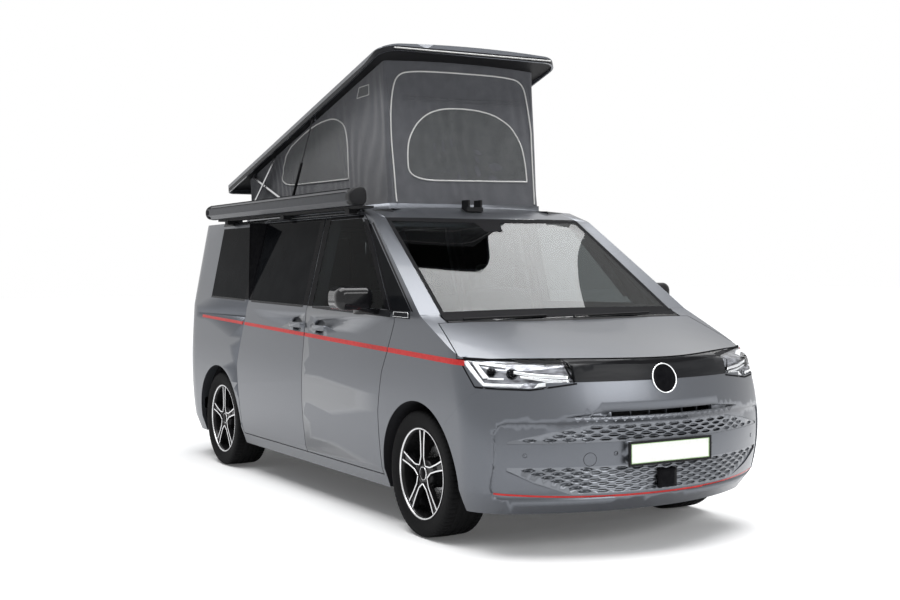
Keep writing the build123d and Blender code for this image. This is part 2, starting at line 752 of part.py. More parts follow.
# ---------------------------------------------------------------- underbody
rail_foot = 342.0
floor_mat = 4.0  # the living floor stands proud of the bare one
house_form = combine(
    arch(arch_front_x, arch_radius + liner, steered_room - liner, 1000),
    keep=[block((tail_x, nose_x), (-1250, 0), (floor_top - 200, 900))],
    cut=[front_arch, block((ahead(-92), ahead(92)), (-600, 0), (100, 560))],
)
house_behind = combine(house_form, keep=[panel_core, block((tail_x, ahead(299)), (-1250, 0), (200, 900))])
house_ahead = combine(house_form, keep=[liner_core, block((ahead(298), nose_x), (-1250, 0), (200, 900))])
house_rear = combine(
    arch(arch_rear_x, arch_radius + liner, rear_room - liner, 1000),
    keep=[seal_core, block((tail_x, nose_x), (-1250, 0), (floor_top - 200, 900))],
    cut=[rear_arch, block((rear_axle - 90, rear_axle + 90), (-700, 0), (100, 450))],
)
front_houses = [arch(arch_front_x, arch_radius + 1, steered_room - 1), mirrored(arch(arch_front_x, arch_radius + 1, steered_room - 1))]
rear_houses = [arch(arch_rear_x, arch_radius + 1, rear_room - 1), mirrored(arch(arch_rear_x, arch_radius + 1, rear_room - 1))]
floor_slab = combine(
    block((ahead(-4040), ahead(-100)), (-1000, 1000), (floor_top - floor_deep, floor_top)),
    block((ahead(-2700), ahead(-1450)), (-690, 380), (floor_top - 1, floor_top + floor_mat)),
    block((ahead(-120), ahead(-100)), (-815, 815), (floor_top - 10, 800)),
    block((ahead(-120), ahead(-20)), (-815, 815), (780, 800)),
    block((ahead(-40), ahead(-20)), (-815, 815), (780, 1130)),
    block((ahead(-3900), ahead(560)), (-390, -330), (rail_foot, floor_top - floor_deep + 1)),
    block((ahead(-3900), ahead(560)), (330, 390), (rail_foot, floor_top - floor_deep + 1)),
    keep=[seal_core],
)
with BuildPart() as bonnet_ear:
    with BuildSketch(Plane.XZ.offset(bonnet_lane - 12)):
        Polygon(
            (ahead(-30), 1060), (ahead(-30), 1128), (pivot_x - 8, bonnet_pivot[1] + 6),
            (pivot_x + 6, bonnet_pivot[1] - 8), align=None,
        )
        with Locations((pivot_x, bonnet_pivot[1])):
            Circle(10)
    extrude(amount=10)
    add(rod((pivot_x, -bonnet_lane + 4, bonnet_pivot[1]), (pivot_x, -bonnet_lane - 10, bonnet_pivot[1]), pin_radius))
with BuildPart() as underbody:
    add(floor_slab)
    add(bonnet_ear.part)
    mirror(bonnet_ear.part, about=Plane.XZ)
    for form in front_houses + rear_houses:
        add(form, mode=Mode.SUBTRACT)
    for form in (house_behind, house_ahead, house_rear):
        add(form)
        mirror(form, about=Plane.XZ)

# ---------------------------------------------------------------- running gear
spindle_radius = 20.0
pin_y = kingpin_y
knuckle_right = combine(
    block((front_axle - 32, front_axle + 32), (-765, -715), (hub_height - 135, hub_height + 135)),
    rod((front_axle, -765, hub_height), (front_axle, -900, hub_height), spindle_radius),
    rod((front_axle, -pin_y, hub_height - 180), (front_axle, -pin_y, hub_height + 180), 12.0),
    rod((front_axle, -700, hub_height - 60), (front_axle - 90, -700, hub_height - 60), 12.0),
    block((front_axle - 20, front_axle + 20), (-716, -690), (hub_height - 75, hub_height - 45)),
)


def suspension_arm(z):
    """Arm from the subframe out to a ring about the kingpin."""
    with BuildPart() as arm:
        with BuildSketch(Plane.XY.offset(z)):
            with BuildLine():
                Polyline((front_axle - 90, -400), (front_axle + 90, -400), (front_axle + 24, -pin_y), (front_axle - 24, -pin_y), close=True)
            make_face()
            with Locations((front_axle, -pin_y)):
                Circle(26)
            with Locations((front_axle, -pin_y)):
                Circle(12.0 + pin_play, mode=Mode.SUBTRACT)
        extrude(amount=26)
    return arm.part


front_subframe = combine(
    block((front_axle - 140, front_axle + 140), (-420, 420), (hub_height - 180, hub_height - 120)),
    *[
        form
        for side in (-1, 1)
        for form in (
            block((front_axle - 60, front_axle + 60), (side * 395, side * 470), (hub_height - 180, hub_height + 172)),
            block((front_axle - 140, front_axle + 140), (side * 330, side * 400), (hub_height - 130, rail_foot - seat_gap)),
        )
    ],
    *[form for z in (hub_height - 172, hub_height + 146) for form in (suspension_arm(z), mirrored(suspension_arm(z)))],
)
rear_axle_beam = combine(
    rod((rear_axle, -640, 300), (rear_axle, 640, 300), 34.0),
    *[
        form
        for side in (-1, 1)
        for form in (
            block((rear_axle - 45, rear_axle + 45), (side * 640, side * 700), (240, 372)),
            rod((rear_axle, side * 690, hub_height), (rear_axle, side * 900, hub_height), spindle_radius),
            block((rear_axle, rear_axle + 480), (side * 560, side * 610), (280, 320)),
            block((rear_axle + 430, rear_axle + 480), (side * 560, side * 610), (280, floor_top - floor_deep - seat_gap)),
        )
    ],
)
engine_block = combine(
    block((front_axle + 170, front_axle + 620), (-329.6, 329.6), (330, 900)),
)

rim_half = 113.0
tyre_mid = wheel_face - rim_half
spokes = 5
# distance from the axle and half width along a spoke, then the inner edge of its raised rib
spoke_edge = ((50.0, 36.3), (92.0, 20.0), (160.0, 22.0), (233.0, 29.0))
rib_edge = ((41.3, 30.0), (90.0, 11.0), (160.0, 13.0), (233.0, 20.0))
spoke_thick = 24.0
rib_height = 7.0
disc_inset = 41.0
bead_radius = rim_radius + seat_gap


def wheel_tyre(x, side):
    """Tyre as a revolved section: bead, bulged side wall, shoulder and tread, hollow inside."""
    with BuildPart() as form:
        with BuildSketch(Plane(origin=(x, side * tyre_mid, hub_height), x_dir=(0, 1, 0), z_dir=(1, 0, 0))):
            with BuildLine():
                Polyline(
                    (-104, bead_radius), (-104, 256), (-tyre_width / 2, 296), (-112, 338), (-88, tyre_radius), (88, tyre_radius),
                    (112, 338), (tyre_width / 2, 296), (104, 256), (104, bead_radius), (92, bead_radius), (92, 330), (-92, 330),
                    (-92, bead_radius), close=True,
                )
            make_face()
        revolve(axis=Axis((x, 0, hub_height), (0, 1, 0)))
    return form.part


def wheel_rim(x, side):
    """Rim with five broad ribbed spokes, hub with its spindle bore, and the brake disc."""
    with BuildPart() as form:
        with BuildSketch(Plane(origin=(x, side * tyre_mid, hub_height), x_dir=(0, side, 0), z_dir=(side, 0, 0))):
            with BuildLine():
                Polyline(
                    (-rim_half, 232), (-rim_half, 255), (-rim_half + 8, 255), (-rim_half + 8, rim_radius),
                    (rim_half - 8, rim_radius), (rim_half - 8, 255), (rim_half, 255), (rim_half, 247), (rim_half - 14, 234),
                    close=True,
                )
            make_face()
            with BuildLine():
                Polyline(
                    (-disc_inset, 60), (-disc_inset, 162), (-disc_inset + 24, 162), (-disc_inset + 24, 84), (70, 84), (88, 78),
                    (98, 34), (98, 0), (88, 0), (88, spindle_radius + pin_play), (-disc_inset, spindle_radius + pin_play), close=True,
                )
            make_face()
        revolve(axis=Axis((x, 0, hub_height), (0, 1, 0)))
        with BuildSketch(Plane(origin=(x, side * (tyre_mid + 72), hub_height), x_dir=(1, 0, 0), z_dir=(0, side, 0))):
            for spoke in range(spokes):
                with Locations(Rotation(0, 0, 90 + 360 / spokes * spoke)):
                    Polygon(*spoke_edge, *[(r, -w) for r, w in reversed(spoke_edge)], align=None)
        extrude(amount=spoke_thick)
        with BuildSketch(Plane(origin=(x, side * (tyre_mid + 72 + spoke_thick), hub_height), x_dir=(1, 0, 0), z_dir=(0, side, 0))):
            for spoke in range(spokes):
                for hand in (-1, 1):
                    with Locations(Rotation(0, 0, 90 + 360 / spokes * spoke)):
                        Polygon(
                            *[(r, hand * w) for r, w in spoke_edge],
                            *[(r, hand * w) for r, w in reversed(rib_edge)], align=None,
                        )
        extrude(amount=rib_height)
    return form.part


# ---------------------------------------------------------------- fittings
mirror_arm = (-520.0, 1206.0)
with BuildPart() as mirror_right:
    with BuildSketch(Plane.YZ.offset(ahead(-590))):
        with Locations((-1092, 1306)):
            RectangleRounded(230, 134, 52)
    extrude(amount=140)
    fillet(mirror_right.edges().filter_by(GeomType.LINE, reverse=True).group_by(Axis.X)[-1], 40)
    add(block((ahead(-565), ahead(-490)), (-1010, -900), (1214, 1244)))
    add(block((ahead(-565), ahead(-490)), (-1060, -985), (1214, 1260)))
    add(clear_form, mode=Mode.SUBTRACT)

awning_y = (-930.0, -822.0)
with BuildPart() as awning:
    with BuildSketch(Plane.YZ.offset(ahead(-3430))):
        with BuildLine():
            Polyline(
                (awning_y[1], 1862), (awning_y[0] + 26, 1862), (awning_y[0], 1890), (awning_y[0], 1938), (awning_y[0] + 34, 1968),
                (awning_y[1], 1972), close=True,
            )
        make_face()
    extrude(amount=2530)
awning_rail = combine(
    block((ahead(-3440), ahead(-890)), (-838, -760), (1846, 1861.6)),
    *[block((ahead(x - 30), ahead(x + 30)), (-842, -720), (1819, 1850)) for x in (-1100, -2150, -3250)],
    cut=[clear_form],
)
catch = combine(
    *[
        block((ahead(-1035), ahead(-950)), (side * 40, side * 52), (1840, 1914))
        for side in (-1, 1)
    ],
    block((ahead(-1035), ahead(-950)), (-60, 60), (1840, 1868)),
    cut=[clear_form],
)
wipers = combine(
    *[
        form
        for y in (-700, 40)
        for form in (
            rod((ahead(82), y, 1198), (ahead(66), y + 560, 1205), 5.0),
            rod((ahead(80), y + 6, 1165), (ahead(80), y + 6, 1198), 6.0),
        )
    ],
    cut=[clear_form],
)
wheel_lean = 22.0
wheel_centre = (ahead(-560), 400.0, 1027.0)
wheel_plane = Plane(origin=wheel_centre, x_dir=(0, 1, 0), z_dir=(-cos(radians(wheel_lean)), 0, sin(radians(wheel_lean))))


def along_column(distance):
    """Point on the steering column's centre line, ahead of the steering wheel's centre."""
    return tuple(Vector(*wheel_centre) - wheel_plane.z_dir * distance)


dashboard = combine(
    block((ahead(-420), ahead(-40.4)), (-795, 795), (820, 1110)),
    rod(along_column(40), along_column(220), 27.0),
    keep=[frame_core],
    cut=[rod(along_column(30), along_column(96), 12.0 + pin_play)],
)
with BuildPart() as steering_wheel:
    with BuildSketch(Plane(origin=wheel_centre, x_dir=wheel_plane.x_dir, z_dir=wheel_plane.y_dir)):
        with Locations((178, 0)):
            Circle(15)
    revolve(axis=Axis(wheel_centre, wheel_plane.z_dir))
    with BuildSketch(wheel_plane.offset(-12)):
        Circle(52)
        with Locations((105, 0), (-105, 0)):
            Rectangle(124, 34)
        with Locations((0, -100)):
            Rectangle(34, 120)
    extrude(amount=24)
    add(rod(along_column(0), along_column(90), 12.0))

seat_x = -1360.0
front_seats_right = combine(
    block((ahead(seat_x), ahead(seat_x + 520)), (-640, -180), (430.4, 640)),
    block((ahead(seat_x), ahead(seat_x + 560)), (-670, -150), (640, 760)),
    block((ahead(seat_x - 60), ahead(seat_x + 90)), (-665, -155), (700, 1330)),
    block((ahead(seat_x - 70), ahead(seat_x + 30)), (-550, -270), (1330, 1500)),
)
rear_bench = combine(
    block((ahead(-3400), ahead(-2780)), (-640, 640), (430.4, 740)),
    block((ahead(-3480), ahead(-3330)), (-640, 640), (740, 1330)),
)
kitchen_unit = block((ahead(-2640), ahead(-1760)), (430, 815), (430.4, 1120))

# ---------------------------------------------------------------- pop-top roof
lid_slope = atan2(lid_front_height - lid_rear_height, lid_front - lid_rear)
lid_run = hypot(lid_front_height - lid_rear_height, lid_front - lid_rear)
lid_plane = Plane(
    origin=(ahead(lid_rear), 0, lid_rear_height), x_dir=(cos(lid_slope), 0, sin(lid_slope)), z_dir=(-sin(lid_slope), 0, cos(lid_slope))
)


def lid_point(x, drop):
    """Height of the point at station x that lies drop under the lid's top edge."""
    return lid_rear_height + (x - lid_rear) * tan(lid_slope) - drop / cos(lid_slope)


arm_top = lid_point(arm_top_x, pivot_drop)
brace_top = lid_point(brace_top_x, 66.0)
strut_top = lid_point(strut_top_x, pivot_drop)


def lid_outline(grow):
    """Lid in plan, in its own plane: rounded at the front corners."""
    with BuildSketch(lid_plane) as outline:
        with Locations((lid_run / 2, 0)):
            Rectangle(lid_run + 2 * grow, 2 * (lid_half + grow))
        fillet(outline.vertices().group_by(Axis.X)[-1], 130 + grow)
        fillet(outline.vertices().group_by(Axis.X)[0], 60 + grow)
    return outline.sketch


def lid_ear(x, z, y, pin_reach):
    """Ear that hangs under the lid on the right side, with its pin towards the lane it holds."""
    up_x, up_z = -sin(lid_slope), cos(lid_slope)
    along_x, along_z = cos(lid_slope), sin(lid_slope)
    rise = pivot_drop - 14
    with BuildPart() as ear:
        with BuildSketch(Plane.XZ.offset(-y[1])):
            Polygon(
                (x - 11 * along_x, z - 11 * along_z),
                (x + 11 * along_x, z + 11 * along_z),
                (x + 24 * along_x + rise * up_x, z + 24 * along_z + rise * up_z),
                (x - 24 * along_x + rise * up_x, z - 24 * along_z + rise * up_z),
                align=None,
            )
            with Locations((x, z)):
                Circle(11)
        extrude(amount=y[1] - y[0])
    if not pin_reach:
        return ear.part
    return combine(ear.part, rod((x, (y[0] + y[1]) / 2, z), (x, pin_reach, z), pin_radius))


lid_arm_ear = lid_ear(ahead(arm_top_x), arm_top, (-arm_y + 2, -arm_y + 9), -arm_y - bar_thick)
lid_strut_ear = lid_ear(ahead(strut_top_x), strut_top, (-strut_y + 6, -strut_y + 13), 0)
lip_thick = 12.0
with BuildPart() as roof_lid:
    with BuildSketch(Plane(origin=lid_plane.origin, x_dir=(0, 1, 0), z_dir=lid_plane.x_dir)):
        with BuildLine():
            ThreePointArc((-lid_half - 20, -2), (0, lid_crown), (lid_half + 20, -2))
            Line((lid_half + 20, -2), (lid_half + 20, -2 - lid_skin))
            ThreePointArc((lid_half + 20, -2 - lid_skin), (0, lid_crown - lid_skin), (-lid_half - 20, -2 - lid_skin))
            Line((-lid_half - 20, -2 - lid_skin), (-lid_half - 20, -2))
        make_face()
    extrude(amount=lid_run + 50)
    with BuildSketch(lid_plane.offset(-lid_lip - 100)):
        add(lid_plane.to_local_coords(lid_outline(0)))
    extrude(amount=300, mode=Mode.INTERSECT)
    with BuildSketch(lid_plane.offset(-lid_lip)):
        add(lid_plane.to_local_coords(lid_outline(0)))
        add(lid_plane.to_local_coords(lid_outline(-lip_thick)), mode=Mode.SUBTRACT)
    extrude(amount=lid_lip - 12)
    with BuildSketch(Plane(origin=lid_plane.origin, x_dir=lid_plane.x_dir, z_dir=(0, -1, 0))):
        Polygon(
            (lid_run - 500, -lid_lip), (lid_run + 60, -lid_front_lip), (lid_run + 60, -lid_lip - 60),
            (lid_run - 500, -lid_lip - 60), align=None,
        )
    extrude(amount=lid_half + 60, both=True, mode=Mode.SUBTRACT)
    for form in (lid_arm_ear, lid_strut_ear):
        add(form)
        mirror(form, about=Plane.XZ)


def bar(start, end, y, end_radius, holes=(True, True)):
    """Flat bar in the right-hand lane y between two pivots in side view."""
    run = Vector(end[0] - start[0], 0, end[1] - start[1])
    plane = Plane(origin=(start[0], y[1], start[1]), x_dir=run.normalized(), z_dir=(0, -1, 0))
    with BuildPart() as form:
        with BuildSketch(plane):
            with Locations((run.length / 2, 0)):
                Rectangle(run.length, 2 * bar_half)
            with Locations((0, 0), (run.length, 0)):
                Circle(end_radius)
            for hole, place in zip(holes, (0, run.length)):
                if hole:
                    with Locations((place, 0)):
                        Circle(pin_radius + pin_play, mode=Mode.SUBTRACT)
        extrude(amount=y[1] - y[0])
    return form.part


arm_foot = (ahead(arm_foot_x), pivot_height)
arm_head = (ahead(arm_top_x), arm_top)
brace_foot = (ahead(brace_foot_x), pivot_height)
brace_head = (ahead(brace_top_x), brace_top)
strut_foot = (ahead(strut_foot_x), pivot_height)
strut_head = (ahead(strut_top_x), strut_top)
lift_arm = bar(arm_foot, arm_head, (-arm_y - bar_thick, -arm_y), 11.0)
brace_arm = bar(brace_foot, brace_head, (-brace_y - bar_thick, -brace_y), 11.0)

strut_run = Vector(strut_head[0] - strut_foot[0], 0, strut_head[1] - strut_foot[1])
strut_mid = -strut_y - 10.0
strut_tube = 380.0
strut_rod_length = 370.0


def along_strut(distance):
    """Point on the gas strut's centre line at a distance from its foot."""
    step = strut_run.normalized() * distance
    return (strut_foot[0] + step.X, strut_mid, strut_foot[1] + step.Z)


with BuildPart() as strut_cylinder:
    add(rod(along_strut(9), along_strut(strut_tube), 10.0))
    add(rod((strut_foot[0], -strut_y, strut_foot[1]), (strut_foot[0], -strut_y - 20, strut_foot[1]), 11.0))
    add(rod(along_strut(20), along_strut(strut_tube + 1), 6.0), mode=Mode.SUBTRACT)
    add(rod((strut_foot[0], 0, strut_foot[1]), (strut_foot[0], -700, strut_foot[1]), pin_radius + pin_play), mode=Mode.SUBTRACT)
with BuildPart() as strut_rod:
    add(rod(along_strut(strut_run.length - strut_rod_length), along_strut(strut_run.length - 6), 4.0))
    add(rod(along_strut(strut_run.length - strut_rod_length), along_strut(strut_run.length - strut_rod_length + 14), 5.95))
    add(rod((strut_head[0], strut_mid + 6, strut_head[1]), (strut_head[0], strut_mid - 6, strut_head[1]), 10.0))
    add(rod((strut_head[0], 0, strut_head[1]), (strut_head[0], -700, strut_head[1]), 5.5), mode=Mode.SUBTRACT)

cloth = 4.0
tent_top_x = -1143.0
tent_profile = (
    (tent_front, tent_foot), (tent_top_x, 2950.0), (tent_rear, 2950.0), (tent_rear, tent_foot),
)
tent_inner_profile = (
    (tent_front - cloth, 1800.0), (tent_top_x - cloth, 2950.0), (tent_rear + cloth, 2950.0), (tent_rear + cloth, 1800.0),
)
with BuildPart() as under_lid:
    with BuildSketch(Plane(origin=lid_plane.origin - lid_plane.x_dir * 300, x_dir=(0, 1, 0), z_dir=lid_plane.x_dir)):
        with BuildLine():
            ThreePointArc((-lid_half - 20, -2.4 - lid_skin), (0, lid_crown - lid_skin - seat_gap), (lid_half + 20, -2.4 - lid_skin))
            Line((lid_half + 20, -2.4 - lid_skin), (lid_half + 20, -2600))
            Line((lid_half + 20, -2600), (-lid_half - 20, -2600))
            Line((-lid_half - 20, -2600), (-lid_half - 20, -2.4 - lid_skin))
        make_face()
    extrude(amount=lid_run + 600)
tent = combine(
    combine(side_prism(tent_profile, 0, tent_half), mirrored(side_prism(tent_profile, 0, tent_half))),
    keep=[under_lid.part],
    cut=[combine(side_prism(tent_inner_profile, 0, tent_half - cloth), mirrored(side_prism(tent_inner_profile, 0, tent_half - cloth)))],
)

# ---------------------------------------------------------------- the finished pieces
pieces = {
    "underbody": underbody.part,
    "side_panel_right": side_panel_right,
    "side_panel_left": side_panel_left,
    "roof_panel": roof_panel,
    "front_wings": both_sides(wing_right),
    "front_bumper": front_bumper,
    "number_plate": number_plate,
    "bumper_grille": bumper_grille,
    "upper_grille": upper_grille,
    "headlamps": both_sides(headlamp_right),
    "windscreen": windscreen,
    "side_glass": both_sides(side_glass_right),
    "rear_bumper": rear_bumper,
    "tail_lamps": both_sides(tail_lamp_right),
    "sliding_door_right": sliding_door_right,
    "sliding_door_left": mirrored(sliding_door_right),
    "awning": awning.part,
    "awning_rail": awning_rail,
    "cowl_panel": cowl_panel,
    "wipers": wipers,
    "roof_catch": catch,
    "dashboard": dashboard,
    "front_seats": both_sides(front_seats_right),
    "rear_bench": rear_bench,
    "kitchen_unit": kitchen_unit,
    "rear_axle_beam": rear_axle_beam,
    "front_subframe": front_subframe,
    "engine_block": engine_block,
    "bonnet": bonnet,
    "front_door_right": front_door_right,
    "front_door_left": mirrored(front_door_right),
    "door_glass_right": door_glass_right,
    "door_glass_left": mirrored(door_glass_right),
    "mirror_right": mirror_right.part,
    "mirror_left": mirrored(mirror_right.part),
    "tailgate": tailgate,
    "tailgate_glass": tailgate_glass,
    "knuckle_right": knuckle_right,
    "knuckle_left": mirrored(knuckle_right),
    "steering_wheel": steering_wheel.part,
    "lift_arms": both_sides(lift_arm),
    "brace_arms": both_sides(brace_arm),
    "strut_cylinders": both_sides(strut_cylinder.part),
    "strut_rods": both_sides(strut_rod.part),
    "roof_lid": roof_lid.part,
    "tent": tent,
}
for axle, x in (("front", front_axle), ("rear", rear_axle)):
    for hand, side in (("right", -1), ("left", 1)):
        pieces[f"tyre_{axle}_{hand}"] = wheel_tyre(x, side)
        pieces[f"rim_{axle}_{hand}"] = wheel_rim(x, side)
for name, part in pieces.items():
    save(name, part)
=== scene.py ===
"""Looks of the camper van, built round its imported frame: metres, +X ahead, +Y to the left, +Z up."""
import json
from math import cos, pi, radians, sin

import bmesh
import bpy
import numpy as np
from mathutils import Matrix, Vector
from mathutils.bvhtree import BVHTree


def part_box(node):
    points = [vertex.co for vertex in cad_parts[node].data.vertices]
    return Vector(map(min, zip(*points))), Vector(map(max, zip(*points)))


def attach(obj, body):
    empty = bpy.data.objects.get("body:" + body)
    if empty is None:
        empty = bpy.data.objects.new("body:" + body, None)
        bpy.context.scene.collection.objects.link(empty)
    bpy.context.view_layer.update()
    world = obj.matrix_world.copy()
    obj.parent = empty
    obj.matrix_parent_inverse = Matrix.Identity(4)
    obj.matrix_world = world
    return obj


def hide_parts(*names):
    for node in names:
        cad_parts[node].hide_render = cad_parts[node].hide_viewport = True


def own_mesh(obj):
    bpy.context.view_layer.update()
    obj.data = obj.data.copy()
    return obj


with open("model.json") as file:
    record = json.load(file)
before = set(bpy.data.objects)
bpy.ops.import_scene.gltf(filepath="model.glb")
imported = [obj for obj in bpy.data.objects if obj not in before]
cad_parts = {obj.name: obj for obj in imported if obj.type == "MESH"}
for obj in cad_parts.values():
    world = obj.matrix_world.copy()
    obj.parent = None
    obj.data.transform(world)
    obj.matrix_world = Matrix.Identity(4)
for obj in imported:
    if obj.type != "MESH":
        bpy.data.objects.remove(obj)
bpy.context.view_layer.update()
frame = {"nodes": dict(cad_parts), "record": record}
nodes = frame["nodes"]

# driving sizes, as the part's own
FRONT_AXLE = 1.5865
REAR_AXLE = -1.5375
HUB_HEIGHT = 0.3515
WHEEL_MID = 0.816
FLOOR_GLOW = (0.08, 0.78)
GLOW_REACH = (3.0, 9.5)
LID_FLAT, LID_GAIN = 2.780, 0.733
LID_SLOPE = float(np.arctan2(LID_GAIN, LID_FLAT))


# ---------------------------------------------------------------- materials
def links(material):
    """The material's node tree pieces: nodes, links and its shader."""
    tree = material.node_tree
    return tree.nodes, tree.links, tree.nodes["Principled BSDF"]


def finish_of(name, colour, rough, metal=0.0, **sockets):
    """A plain Principled finish; sockets are set by their names with _ for spaces."""
    material = bpy.data.materials.new(name)
    material.use_nodes = True
    shader = material.node_tree.nodes["Principled BSDF"]
    shader.inputs["Base Color"].default_value = (*colour, 1.0)
    shader.inputs["Roughness"].default_value = rough
    shader.inputs["Metallic"].default_value = metal
    for key, value in sockets.items():
        shader.inputs[key.replace("_", " ")].default_value = value
    return material


def noise(material, scale, detail=3.0, stretch=(1, 1, 1)):
    """A noise node on Object coordinates; returns its node."""
    tree_nodes, tree_links, _ = links(material)
    place = tree_nodes.new("ShaderNodeTexCoord")
    mapping = tree_nodes.new("ShaderNodeMapping")
    mapping.inputs["Scale"].default_value = stretch
    pattern = tree_nodes.new("ShaderNodeTexNoise")
    pattern.inputs["Scale"].default_value = scale
    pattern.inputs["Detail"].default_value = detail
    tree_links.new(place.outputs["Object"], mapping.inputs["Vector"])
    tree_links.new(mapping.outputs["Vector"], pattern.inputs["Vector"])
    return pattern


def mottle(material, colour, other, scale, low=0.35, high=0.65, detail=3.0, stretch=(1, 1, 1)):
    """Colour that wanders between two tones by noise."""
    tree_nodes, tree_links, shader = links(material)
    pattern = noise(material, scale, detail, stretch)
    ramp = tree_nodes.new("ShaderNodeValToRGB")
    ramp.color_ramp.elements[0].position = low
    ramp.color_ramp.elements[0].color = (*colour, 1)
    ramp.color_ramp.elements[1].position = high
    ramp.color_ramp.elements[1].color = (*other, 1)
    tree_links.new(pattern.outputs["Fac"], ramp.inputs["Fac"])
    tree_links.new(ramp.outputs["Color"], shader.inputs["Base Color"])
    return ramp


def grain(material, scale, strength, distance=0.001, detail=3.0, stretch=(1, 1, 1)):
    """Fine relief by noise."""
    tree_nodes, tree_links, shader = links(material)
    pattern = noise(material, scale, detail, stretch)
    bump = tree_nodes.new("ShaderNodeBump")
    bump.inputs["Strength"].default_value = strength
    bump.inputs["Distance"].default_value = distance
    tree_links.new(pattern.outputs["Fac"], bump.inputs["Height"])
    tree_links.new(bump.outputs["Normal"], shader.inputs["Normal"])
    return bump


def paint(name, colour, bright):
    """Metallic paint: a flake-sized mottle under a clear coat."""
    material = finish_of(name, colour, 0.33, 0.82, Coat_Weight=0.25, Coat_Roughness=0.05, Coat_IOR=1.3)
    mottle(material, colour, bright, 900.0, 0.30, 0.70, 2.0)
    return material


def woven(name, colour, other, thread, strength=0.35):
    """Cloth: two crossed sets of threads by wave nodes, with a slow wander in tone."""
    material = finish_of(name, colour, 0.88, 0.0, Sheen_Weight=0.25, Sheen_Roughness=0.5)
    tree_nodes, tree_links, shader = links(material)
    mottle(material, colour, other, 14.0, 0.35, 0.7, 5.0)
    place = tree_nodes.new("ShaderNodeTexCoord")
    heights = []
    for turn in ((0.0, 0.0, 0.0), (0.0, pi / 2, pi / 2)):
        mapping = tree_nodes.new("ShaderNodeMapping")
        mapping.inputs["Rotation"].default_value = turn
        wave = tree_nodes.new("ShaderNodeTexWave")
        wave.inputs["Scale"].default_value = thread
        wave.inputs["Distortion"].default_value = 0.6
        tree_links.new(place.outputs["Object"], mapping.inputs["Vector"])
        tree_links.new(mapping.outputs["Vector"], wave.inputs["Vector"])
        heights.append(wave.outputs["Fac"])
    total = tree_nodes.new("ShaderNodeMath")
    total.operation = "ADD"
    tree_links.new(heights[0], total.inputs[0])
    tree_links.new(heights[1], total.inputs[1])
    bump = tree_nodes.new("ShaderNodeBump")
    bump.inputs["Strength"].default_value = strength
    bump.inputs["Distance"].default_value = 0.0006
    tree_links.new(total.outputs[0], bump.inputs["Height"])
    tree_links.new(bump.outputs["Normal"], shader.inputs["Normal"])
    return material


SILVER = paint("silver_paint", (0.088, 0.094, 0.106), (0.118, 0.125, 0.140))
COATING = finish_of("underbody_coating", (0.014, 0.014, 0.016), 0.75, IOR=1.2)
grain(COATING, 220.0, 0.5, 0.002)
PLATE = finish_of("blank_plate", (0.78, 0.78, 0.76), 0.35)
mottle(PLATE, (0.76, 0.76, 0.74), (0.80, 0.80, 0.78), 60.0)
TRIM = finish_of("black_trim", (0.012, 0.012, 0.013), 0.55, IOR=1.2)
grain(TRIM, 900.0, 0.25, 0.0006)
GLOSS = finish_of("gloss_black", (0.006, 0.006, 0.007), 0.08, 0.0, IOR=1.07)
mottle(GLOSS, (0.005, 0.005, 0.006), (0.008, 0.008, 0.009), 40.0)
SHELL = finish_of("mirror_shell", (0.006, 0.006, 0.007), 0.10, 0.0, IOR=1.36)
mottle(SHELL, (0.005, 0.005, 0.006), (0.008, 0.008, 0.009), 30.0)
CLEAR = finish_of("clear_glass", (0.30, 0.325, 0.33), 0.0, 0.0, Transmission_Weight=1.0, IOR=1.24)
DOOR_GLASS = finish_of("door_glass", (0.16, 0.18, 0.18), 0.0, 0.0, Transmission_Weight=1.0, IOR=1.07)
PRIVACY = finish_of("privacy_glass", (0.006, 0.0065, 0.0075), 0.04, 0.0, IOR=1.055)
mottle(PRIVACY, (0.005, 0.0055, 0.0065), (0.008, 0.0085, 0.0095), 6.0)
LENS = finish_of("lamp_lens", (0.96, 0.97, 0.98), 0.01, 0.0, Transmission_Weight=1.0, IOR=1.12)
RED_LENS = finish_of("red_lens", (0.32, 0.008, 0.010), 0.12, 0.0, Coat_Weight=1.0, Transmission_Weight=0.2)
mottle(RED_LENS, (0.30, 0.006, 0.008), (0.38, 0.012, 0.014), 90.0)
CASE = finish_of("awning_case", (0.030, 0.032, 0.038), 0.34, 0.70, IOR=1.2)
mottle(CASE, (0.028, 0.030, 0.035), (0.035, 0.037, 0.043), 30.0)
PLASTIC = finish_of("cabin_plastic", (0.024, 0.024, 0.026), 0.6, IOR=1.25)
grain(PLASTIC, 700.0, 0.4, 0.0008)
SEAT_CLOTH = woven("seat_cloth", (0.035, 0.036, 0.040), (0.055, 0.056, 0.060), 320.0)
CABINET = finish_of("cabinet_laminate", (0.34, 0.33, 0.31), 0.45)
mottle(CABINET, (0.30, 0.29, 0.27), (0.36, 0.35, 0.33), 9.0, 0.3, 0.7, 6.0, (1, 8, 8))
STEEL = finish_of("chassis_steel", (0.025, 0.025, 0.027), 0.5, 0.5)
grain(STEEL, 120.0, 0.4, 0.002)
BRIGHT = finish_of("bright_steel", (0.55, 0.55, 0.56), 0.25, 1.0)
grain(BRIGHT, 300.0, 0.15, 0.0005, 3.0, (1, 1, 12))
CANVAS = woven("charcoal_canvas", (0.058, 0.060, 0.068), (0.072, 0.074, 0.083), 420.0)
RUBBER = finish_of("tyre_rubber", (0.009, 0.009, 0.0095), 0.72, IOR=1.14)
grain(RUBBER, 260.0, 0.5, 0.0012)
ALLOY_DARK = finish_of("alloy_black", (0.014, 0.014, 0.015), 0.22, 0.3, IOR=1.2, Coat_Weight=0.1)
mottle(ALLOY_DARK, (0.012, 0.012, 0.013), (0.018, 0.018, 0.019), 50.0)
